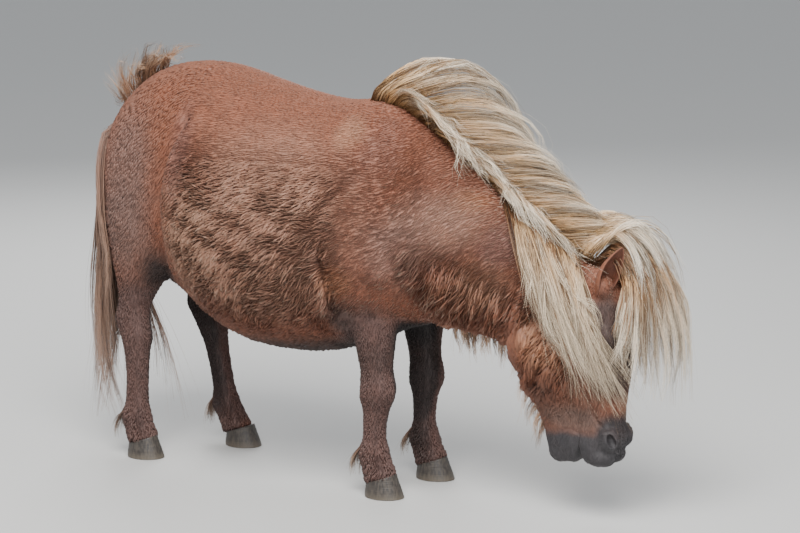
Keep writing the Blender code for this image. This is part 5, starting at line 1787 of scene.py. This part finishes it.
@dataclass
class LongHair:
    """One piece of long hair made of swaths."""

    name: str
    seed: int
    finish: StrandFinish
    slot: str  # of the record's materials
    nodes: tuple  # of the CAD, that it replaces
    swaths: list
    flatness: float = 0.5  # a strand's thickness over its width

    def lines(self, swath: Swath, ground: Ground, chance: np.random.Generator) -> dict:
        """Works out the lines of a swath's strands.

        Args:
            swath: The swath.
            ground: The hide.
            chance: The random numbers.

        Returns:
            Arrays of points, girths, shares along, tones and bake places.
        """
        count = swath.segments + 1
        guides = np.array([resample(spline_rows(g, 8), GUIDE_POINTS) for g in swath.guides])
        share = np.linspace(0, 1, count)
        rows = []
        for number in range(swath.locks):
            across = (number + 0.5 + chance.uniform(-0.45, 0.45)) / swath.locks
            reach = chance.uniform(*swath.reach)
            middle = self.blend(guides, across, reach, count)
            middle = middle + (chance.uniform(-1, 1, 3) * swath.stray) * (share ** 1.5)[:, None]
            bow = np.sin(chance.uniform(0, 6.3) + share * chance.uniform(4.0, 9.0)) * share
            middle = middle + chance.uniform(-1, 1, 3) * 1.8 * swath.wave * bow[:, None]
            high = swath.lift * chance.uniform(0.3, 1.4)
            middle = ground.lay_line(middle, share, 0.12, high)
            phase = chance.uniform(0, 2 * math.pi)
            tone = chance.uniform(0.1, 0.9)
            beside = (self.blend(guides, min(across + 0.02, 1.0), reach, count)
                      - self.blend(guides, max(across - 0.02, 0.0), reach, count))
            along = unit(np.gradient(middle, axis=0))
            beside = square_to(unit(beside), along)
            lock = Lock(middle, beside, np.cross(along, beside), share, across, phase, tone)
            rows += [self.strand(swath, lock, ground, chance) for _ in range(swath.strands)]
        return {key: np.array([row[key] for row in rows]) for key in rows[0]}

    @staticmethod
    def blend(guides: np.ndarray, across: float, reach: float, count: int) -> np.ndarray:
        """Works out the line that lies a share of the way across the guides.

        Args:
            guides: The guides' points.
            across: The share of the way.
            reach: The share of the length that is kept.
            count: How many points to make.

        Returns:
            The line's points.
        """
        place = min(max(across, 0.0), 1.0) * (len(guides) - 1)
        i = min(int(place), len(guides) - 2)
        line = guides[i] * (i + 1 - place) + guides[i + 1] * (place - i)
        return resample(line[:max(4, round(len(line) * reach))], count)

    @staticmethod
    def strand(swath: Swath, lock: Lock, ground: Ground, chance: np.random.Generator) -> dict:
        """Works out one strand of a lock.

        Args:
            swath: The swath.
            lock: The lock.
            ground: The hide.
            chance: The random numbers.

        Returns:
            The strand's arrays by name.
        """
        share, count = lock.share, len(lock.share)
        ends, height = chance.uniform(-1, 1, 2), chance.uniform(-1, 1)
        offset = ends[0] * (1 - 0.75 * share) + ends[1] * 0.75 * share
        spread = swath.root_width * (1 - share) + swath.tip_width * share
        spread = spread * (1 + 0.5 * np.sin(math.pi * share))
        wild = chance.random() < swath.wild
        fling = chance.uniform(-1, 1, 3) * (WILD_FLING if wild else TAME_FLING)
        waving = lock.phase + chance.uniform(-0.7, 0.7) + share * chance.uniform(6.0, 10.0)
        line = (lock.middle + lock.beside * (offset * spread / 2 + swath.wave * share
                                             * np.sin(waving))[:, None]
                + lock.out * (height * spread / 5 + 0.4 * swath.wave * share
                              * np.cos(waving * 1.3))[:, None]
                + fling * (share ** 2)[:, None])
        cut = 1.0 if wild else chance.uniform(0.72, 1.0)
        line = resample(line[:max(3, round(len(line) * cut))], count)
        line = ground.lay_line(line, share, 0.2, STRAND_HEIGHT)
        girth = swath.girth * (0.45 if wild else chance.uniform(0.6, 1.25))
        taper = np.clip(1.15 - share ** 2.2, 0.06, 1.0)
        return {"points": line, "girth": girth * taper, "along": share,
                "tone": np.full(count, np.clip(lock.tone + chance.normal(0, 0.22), 0, 1)),
                "bake_place": np.tile([BAKE_EDGE + 0.97 * lock.across,
                                       chance.uniform(BAKE_EDGE, 0.985), 0], (count, 1))}

    def build(self, tree: StrandTree, ground: Ground,
              finish: Material) -> Object:
        """Builds the piece in the pony's frame.

        Args:
            tree: The sweeping tree.
            ground: The hide.
            finish: Its material.

        Returns:
            The piece.
        """
        chance = np.random.default_rng(self.seed)
        parts = {"points": [], "girth": [], "along": [], "tone": [], "bake_place": []}
        edges, start = [], 0
        for swath in self.swaths:
            made = self.lines(swath, ground, chance)
            strands, count, _ = made["points"].shape
            first = start + np.arange(strands)[:, None] * count + np.arange(count - 1)[None, :]
            edges.append(np.stack([first, first + 1], -1).reshape(-1, 2))
            for key, arrays in parts.items():
                arrays.append(made[key].reshape(-1, *made[key].shape[2:]))
            start += strands * count
        values = {key: np.concatenate(arrays) for key, arrays in parts.items()}
        points, pairs = ground.within(values.pop("points")), np.vstack(edges)
        mesh = bpy.data.meshes.new(self.name)
        mesh.vertices.add(len(points))
        mesh.vertices.foreach_set("co", points.ravel())
        mesh.edges.add(len(pairs))
        mesh.edges.foreach_set("vertices", pairs.ravel())
        for key, numbers in values.items():
            put_attribute(mesh, key, numbers)
        obj = place_object(self.name, mesh)
        tree.run(obj, Flatness=self.flatness, Finish=finish)
        return obj


@dataclass
class Mane:
    """The mane: a roll that falls to the far side, and locks that tumble down the near side.

    Attributes:
        ground: The hide.
        ends: X of the withers and the poll.
        high: Height of the roll at the withers.
        lower: How much lower it is at the poll.
        over: Steps of a guide over the roll: height as a share of the roll's, way ahead and Y.
        down: The same of a lock that tumbles down its near side.
    """

    ground: Ground
    ends: tuple = (-0.045, 0.545)
    high: float = 0.118
    lower: float = 0.040
    over: tuple = ((0.94, 0.122, 0.012), (0.96, 0.178, 0.060), (0.50, 0.228, 0.108),
                   (-0.30, 0.262, 0.132), (-1.05, 0.280, 0.140))
    down: tuple = ((-0.12, -0.010, -0.018), (0.16, 0.004, -0.044), (0.40, 0.046, -0.062),
                   (0.40, 0.100, -0.070), (0.26, 0.150, -0.074), (0.30, 0.196, -0.070),
                   (0.52, 0.225, -0.058))

    def guide(self, share: float, steps: tuple, reach: float) -> list:
        """Works out a guide that starts on the neck's top line.

        Args:
            share: Its place from the withers, 0, to the poll, 1.
            steps: Height as a share of the roll's, way ahead and Y of each of its points.
            reach: A factor on the way ahead.

        Returns:
            The guide's points.
        """
        start, end = self.ends
        x = start + (end - start) * share
        back, front = self.ground.top(x - 0.012), self.ground.top(x + 0.012)
        point, along = (back + front) / 2, (front - back).normalized()
        up = Vector((-along.z, 0, along.x))
        high = self.high - self.lower * share
        return [tuple(point + up * (high * lift) + along * (ahead * reach)
                      + Vector((0, y, 0))) for lift, ahead, y in steps]

    def roll(self, near: float) -> list:
        """Works out the guides of the roll, from the withers to the poll.

        Args:
            near: How far its roots lie towards the near side.

        Returns:
            The guides.
        """
        steps = ((-0.08, -0.020, -near), (0.26, 0.012, -0.026 - near),
                 (0.62, 0.066, -0.022 - near / 2), *self.over)
        return [self.guide(share, steps, 1 - 0.45 * share ** 2)
                for share in np.linspace(0, 1, 9)]

    def tumble(self) -> list:
        """Returns the guides of the wavy locks that tumble down the near side of the roll."""
        return [self.guide(share, self.down, 1.0) for share in np.linspace(0.06, 0.76, 8)]


# ---------------------------------------------------------------- ears, eyes and hooves


@dataclass(frozen=True)
class Ear:
    """An ear: a thin cup that opens forwards, with its root in the forelock.

    Attributes:
        side: Its side.
        tip: The ear's tip in the pony's frame.
        skin: Thickness of the cup.
        lean: How far the tip bends in.
        rows: Points over the outside of a ring; the inside has as many.
        sections: Place along it, radius, half the angle that it closes and depth of each ring.
    """

    side: Side
    tip: tuple
    skin: float = 0.0032
    lean: float = 0.010
    rows: int = 19
    sections: tuple = ((-0.10, 0.0165, 148, 1.0), (0.0, 0.0195, 146, 1.0),
                       (0.15, 0.023, 133, 0.95), (0.35, 0.026, 115, 0.9),
                       (0.58, 0.024, 100, 0.85), (0.80, 0.016, 90, 0.8),
                       (0.94, 0.0082, 85, 0.8), (1.0, 0.0032, 80, 0.8))

    def build(self, finish: Material) -> Object:
        """Builds the ear in the pony's frame.

        Args:
            finish: Its material.

        Returns:
            The ear.
        """
        x, y, z = EAR_ROOT
        root = Vector((x, self.side * y, z))
        axis = Vector(self.tip) - root
        length = axis.length
        axis.normalize()
        facing = Vector((0.72, self.side * 0.60, -0.30))
        facing = (facing - facing.dot(axis) * axis).normalized()
        across = axis.cross(facing)
        rings = []
        for share, radius, half_angle, depth in spline_rows(self.sections, 5):
            middle = root + axis * (share * length) + Vector(
                (0, -self.side * self.lean * share ** 2, 0))
            skin = min(self.skin, radius * 0.5)
            turns = np.radians(np.linspace(-half_angle, half_angle, self.rows))
            ring = [middle - facing * math.cos(a) * (radius * depth - inset)
                    + across * math.sin(a) * (radius - inset)
                    for inset, way in ((0.0, turns), (skin, turns[::-1])) for a in way]
            rings.append(np.array([tuple(p) for p in ring]))
        ear = loft(f"ear_hide_{self.side.name.lower()}", rings)
        shade_smooth(ear)
        points = points_of(ear)
        put_attribute(ear.data, "flow", points[:, [2, 0, 1]])
        inner = np.arange(len(points)) % (2 * self.rows) >= self.rows
        # The inside's large depth makes the hide's finish tint it darker: painted shade in the cup
        # of the ear.
        put_attribute(ear.data, "depth", np.where(inner, 0.012, 0.001))
        ear.data.materials.append(finish)
        return ear


@dataclass(frozen=True)
class Eye:
    """An eye: a ball, of which the lids leave a part free."""

    side: Side

    def pupil(self, shift: Vector) -> Vector:
        """Returns the middle of the pupil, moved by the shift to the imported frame."""
        x, y, z = EYE_CENTRE
        return Vector((x + EYE_AHEAD, self.side * (y + EYE_RADIUS), z)) + shift

    def build(self, finish: Material) -> Object:
        """Builds the ball in the pony's frame.

        Args:
            finish: Its material.

        Returns:
            The ball.
        """
        ball = Muscle(EYE_CENTRE, (EYE_RADIUS,) * 3).mesh(
            self.side, f"eyeball_{self.side.name.lower()}", 5)
        shade_smooth(ball)
        ball.data.materials.append(finish)
        return ball


@dataclass(frozen=True)
class Hoof:
    """A hoof with a flat sole, rings of growth and a sloping coronet."""

    name: str  # the stance's
    stance: Stance
    points: int = 56  # round a ring
    ridge: float = 0.0004  # height of the growth rings
    # Z, heel, toe and half width of each section
    levels: tuple = ((0.000, -0.019, 0.0765, 0.0395), (0.0012, -0.0205, 0.0780, 0.0408),
                     (0.0040, -0.0222, 0.0780, 0.0412), (0.030, -0.0218, 0.0696, 0.0382),
                     (0.050, -0.0206, 0.0625, 0.0362), (0.066, -0.0196, 0.0570, 0.0345))

    def build(self, finish: Material) -> Object:
        """Builds the hoof in the pony's frame.

        Args:
            finish: Its material.

        Returns:
            The hoof.
        """
        angle = np.linspace(0, 2 * math.pi, self.points, endpoint=False)
        along = np.cos(angle)
        slope = np.minimum((0.058 + (along * 0.5 + 0.5 - 1) * 0.026) / 0.066, 1.0)
        cleft = 1 - 0.08 * along
        rings = []
        for z, heel, toe, half_width in spline_rows(self.levels, SPLINE_STEPS):
            ring = self.ridge * math.sin(z * 900)
            x = ((heel + toe) / 2 + along * ((toe - heel) / 2 + ring) + self.stance.x
                 + self.stance.ahead)
            y = self.stance.side * self.stance.track + np.sin(angle) * (half_width + ring) * cleft
            rings.append(np.stack([x, y, np.full_like(x, z) * slope], 1))
        hoof = loft(f"horn_{self.name}", rings)
        for polygon in hoof.data.polygons:
            polygon.use_smooth = len(polygon.vertices) == 4
        hoof.data.materials.append(finish)
        return hoof


@dataclass(frozen=True)
class Lamp:
    """A large soft light."""

    name: str
    place: tuple
    size: float
    power: float
    colour: tuple


@dataclass(frozen=True)
class Studio:
    """The plain floor, soft lights and the camera at the photograph's angle."""

    shift: Vector  # from the pony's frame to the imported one
    azimuth: float = 32.0  # degrees from the pony's right side towards its front
    elevation: float = 10.5  # degrees above level
    distance: float = 6.0  # from the point that it looks at
    look: tuple = (-0.138, 0.231, 0.5)  # that point, in the pony's frame
    lens: float = 105.75  # in millimetres
    sensor: float = 36.0  # its width in millimetres
    reach: float = 60.0  # half the side of the floor, so that no picture shows its edge
    aim: tuple = (-0.1, 0, 0.5)  # of the lights, in the pony's frame
    sky: tuple = (0.86, 0.89, 0.93)
    glow: float = 0.70
    lamps: tuple = (Lamp("key", (1.2, -2.6, 4.2), 3.0, 400.0, (1.0, 0.98, 0.95)),
                    Lamp("fill", (3.4, -3.2, 1.6), 3.0, 60.0, (0.95, 0.97, 1.0)),
                    Lamp("rim", (-2.8, 2.8, 3.2), 2.2, 130.0, (1.0, 1.0, 1.0)))

    def build(self) -> None:
        """Lays the floor, hangs the lights and sets the camera."""
        reach = self.reach
        floor = mesh_object("floor", [(-reach, -reach, 0), (reach, -reach, 0),
                                      (reach, reach, 0), (-reach, reach, 0)], [(0, 1, 2, 3)])
        floor.data.materials.append(FloorFinish().material())
        floor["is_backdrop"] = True
        for lamp in self.lamps:
            data = bpy.data.lights.new(lamp.name, "AREA")
            data.energy, data.size, data.color = lamp.power, lamp.size, lamp.colour
            light = place_object(lamp.name, data)
            light.location = Vector(lamp.place) + self.shift
            aim = Vector(self.aim) + self.shift - light.location
            light.rotation_euler = aim.to_track_quat("-Z", "Y").to_euler()
        world = bpy.data.worlds.new("studio")
        world.use_nodes = True
        Graph(world.node_tree).fill(world.node_tree.nodes["Background"], Color=rgba(self.sky),
                                    Strength=self.glow)
        bpy.context.scene.world = world
        self.camera()

    def camera(self) -> None:
        """Sets the camera at the photograph's angle."""
        turn, rise = math.radians(self.azimuth), math.radians(self.elevation)
        back = Vector((math.sin(turn) * math.cos(rise), -math.cos(turn) * math.cos(rise),
                       math.sin(rise)))
        data = bpy.data.cameras.new("camera")
        data.lens, data.sensor_width, data.clip_end = self.lens, self.sensor, self.reach
        eye = place_object("camera", data)
        eye.location = Vector(self.look) + self.shift + back * self.distance
        eye.rotation_euler = (-back).to_track_quat("-Z", "Y").to_euler()
        bpy.context.scene.camera = eye


def ride(obj: Object, shift: Vector, slot: str, *nodes: str) -> None:
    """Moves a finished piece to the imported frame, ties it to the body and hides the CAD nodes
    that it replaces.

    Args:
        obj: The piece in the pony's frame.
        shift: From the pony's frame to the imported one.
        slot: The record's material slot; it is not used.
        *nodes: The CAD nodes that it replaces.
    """
    obj.data.transform(Matrix.Translation(shift))
    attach(obj, BODY)
    if nodes:
        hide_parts(*nodes)


def feathers() -> list:
    """Returns the swaths of long hair behind the four fetlocks."""
    swaths = []
    for stance in STANCES.values():
        guides = [[(x + stance.x + stance.ahead * (1 - z / HOCK_HEIGHT),
                    stance.side * (stance.track + y), z) for x, y, z in guide]
                  for guide in FEATHERS]
        swaths.append(Swath(guides, 16, 14, 0.010, 0.004, 0.0007, 0.002, 0.006, (0.8, 1.15),
                            0.003, 6))
    return swaths


def long_hair(mane: Mane) -> list:
    """Returns the pieces of long hair, those of the mane from its guides."""
    return [
        LongHair("mane_roll", 11, CREAM, "mane_hair", ("mane",), [
            Swath(mane.roll(0.004), 72, 29, 0.024, 0.005, 0.0010, 0.011, 0.028, (0.62, 1.0),
                  0.006, 9, 0.10)]),
        LongHair("mane_under", 12, FLAX, "mane_hair", ("mane",), [
            Swath(mane.roll(0.014), 56, 18, 0.022, 0.008, 0.0010, 0.006, 0.016, (0.40, 0.8),
                  0.004, 8, 0.10)]),
        LongHair("mane_curls", 21, GOLD, "mane_hair", ("mane",), [
            Swath(mane.tumble(), 48, 20, 0.018, 0.004, 0.0008, 0.010, 0.026, (0.45, 1.0),
                  0.004, 9, 0.14)]),
        LongHair("mane_crown", 18, CREAM, "mane_hair", ("mane",), [
            Swath(CROWN, 40, 26, 0.024, 0.006, 0.0009, 0.007, 0.016, (0.6, 1.0), 0.008, 9, 0.10),
            Swath(POLL, 26, 26, 0.020, 0.006, 0.0009, 0.006, 0.012, (0.6, 1.0), 0.008, 8,
                  0.08)]),
        # Dark strands under the near fall, forelock and poll: painted shade in the mane's depths.
        LongHair("mane_depths", 20, MANE_SHADE_STRANDS, "mane_hair", ("mane",), [
            Swath(NEAR_FALL, 26, 16, 0.030, 0.012, 0.0016, 0.004, 0.008, (0.55, 0.85), 0.002, 8,
                  0.02),
            Swath(FORELOCK, 18, 14, 0.030, 0.014, 0.0016, 0.004, 0.008, (0.55, 0.85), 0.001, 8,
                  0.02),
            Swath(POLL, 24, 18, 0.036, 0.026, 0.0016, 0.006, 0.022, (0.45, 0.85), 0.001, 7,
                  0.02)]),
        LongHair("mane_fall", 13, FLAX, "mane_hair", ("mane",), [
            Swath(NEAR_FALL, 50, 34, 0.017, 0.004, 0.0008, 0.012, 0.024, (0.55, 1.0), 0.012, 10,
                  0.14),
            Swath(STRAY_FALL, 16, 14, 0.022, 0.005, 0.0007, 0.010, 0.024, (0.75, 1.0), 0.016,
                  10, 0.25)]),
        LongHair("forelock_hair", 14, GOLD, "mane_hair", ("forelock",), [
            Swath(FORELOCK, 48, 36, 0.018, 0.005, 0.0009, 0.009, 0.016, (0.80, 1.0), 0.008, 9,
                  0.10)]),
        LongHair("tail_head_hair", 19, RED_BROWN, "tail_hair", ("tail",), [
            Swath(TAIL_HEAD, 46, 14, 0.014, 0.005, 0.0008, 0.012, 0.026, (0.6, 1.0), 0.001, 7,
                  0.25)]),
        LongHair("tail_hair", 15, DARK_BROWN, "tail_hair", ("tail",), [
            Swath(TAIL, 34, 40, 0.024, 0.008, 0.0010, 0.007, 0.026, (0.78, 1.0), 0.010, 11,
                  0.08),
            Swath(TAIL_NEAR, 16, 34, 0.026, 0.008, 0.0010, 0.008, 0.026, (0.70, 1.0), 0.012, 11,
                  0.10),
            Swath(TAIL_INNER, 8, 26, 0.014, 0.005, 0.0009, 0.007, 0.016, (0.8, 1.0), 0.004, 10,
                  0.10)]),
        LongHair("beard_hair", 16, RED_BROWN, "coat", (), [
            Swath(half, 14, 22, 0.014, 0.005, 0.0009, 0.004, 0.010, (0.7, 1.0), 0.002, 6, 0.08)
            for guides in (JAW_HAIR, THROAT_HAIR) for half in (guides, mirrored(guides))]),
        LongHair("fetlock_feathers", 17, DUN, "coat", (), feathers()),
    ]


def main() -> None:
    """Builds every piece in order."""
    logging.basicConfig(level=logging.INFO, format="%(name)s %(message)s")
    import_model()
    cad_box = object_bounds()
    shift = model_shift()
    markings_and_shade = MarkingsAndShade().group()
    hide_finish = HideFinish().material(markings_and_shade, shift)
    tuft_finish = TuftFinish().material(markings_and_shade, shift)
    hair_finishes = {finish.name: finish.material() for finish in
                     (CREAM, FLAX, GOLD, DARK_BROWN, RED_BROWN, MANE_SHADE_STRANDS, DUN)}

    hide = Hide()
    hide.build(hide_finish)
    LOG.info("hide: %d triangles", triangles_of(hide.obj))
    coat = Coat(hide.obj, tuft_finish).build()
    ground = Ground(hide.obj, cad_box[0] - shift, cad_box[1] - shift)
    tree = StrandTree()
    for hair in long_hair(Mane(ground)):
        ride(hair.build(tree, ground, hair_finishes[hair.finish.name]), shift, hair.slot,
             *hair.nodes)
    bpy.data.node_groups.remove(tree.tree)
    ride(hide.obj, shift, "coat", "torso", "neck", "head", *(f"leg_{name}" for name in STANCES))
    for piece in coat:
        ride(piece, shift, "coat")
    for side, tip in EAR_TIPS.items():
        ride(Ear(side, tip).build(hide_finish), shift, "coat", f"ear_{side.name.lower()}")
    eyes = [Eye(side) for side in Side]
    eye_finish = EyeFinish().material([eye.pupil(shift) for eye in eyes])
    for eye in eyes:
        ride(eye.build(eye_finish), shift, "eye_wet", f"eye_{eye.side.name.lower()}")
    horn = HornFinish().material()
    for name, stance in STANCES.items():
        ride(Hoof(name, stance).build(horn), shift, "hoof_horn", f"hoof_{name}")
    LOG.info("ears, eyes and hooves in place")
    Studio(shift).build()
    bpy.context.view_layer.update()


if __name__ == "__main__":
    main()
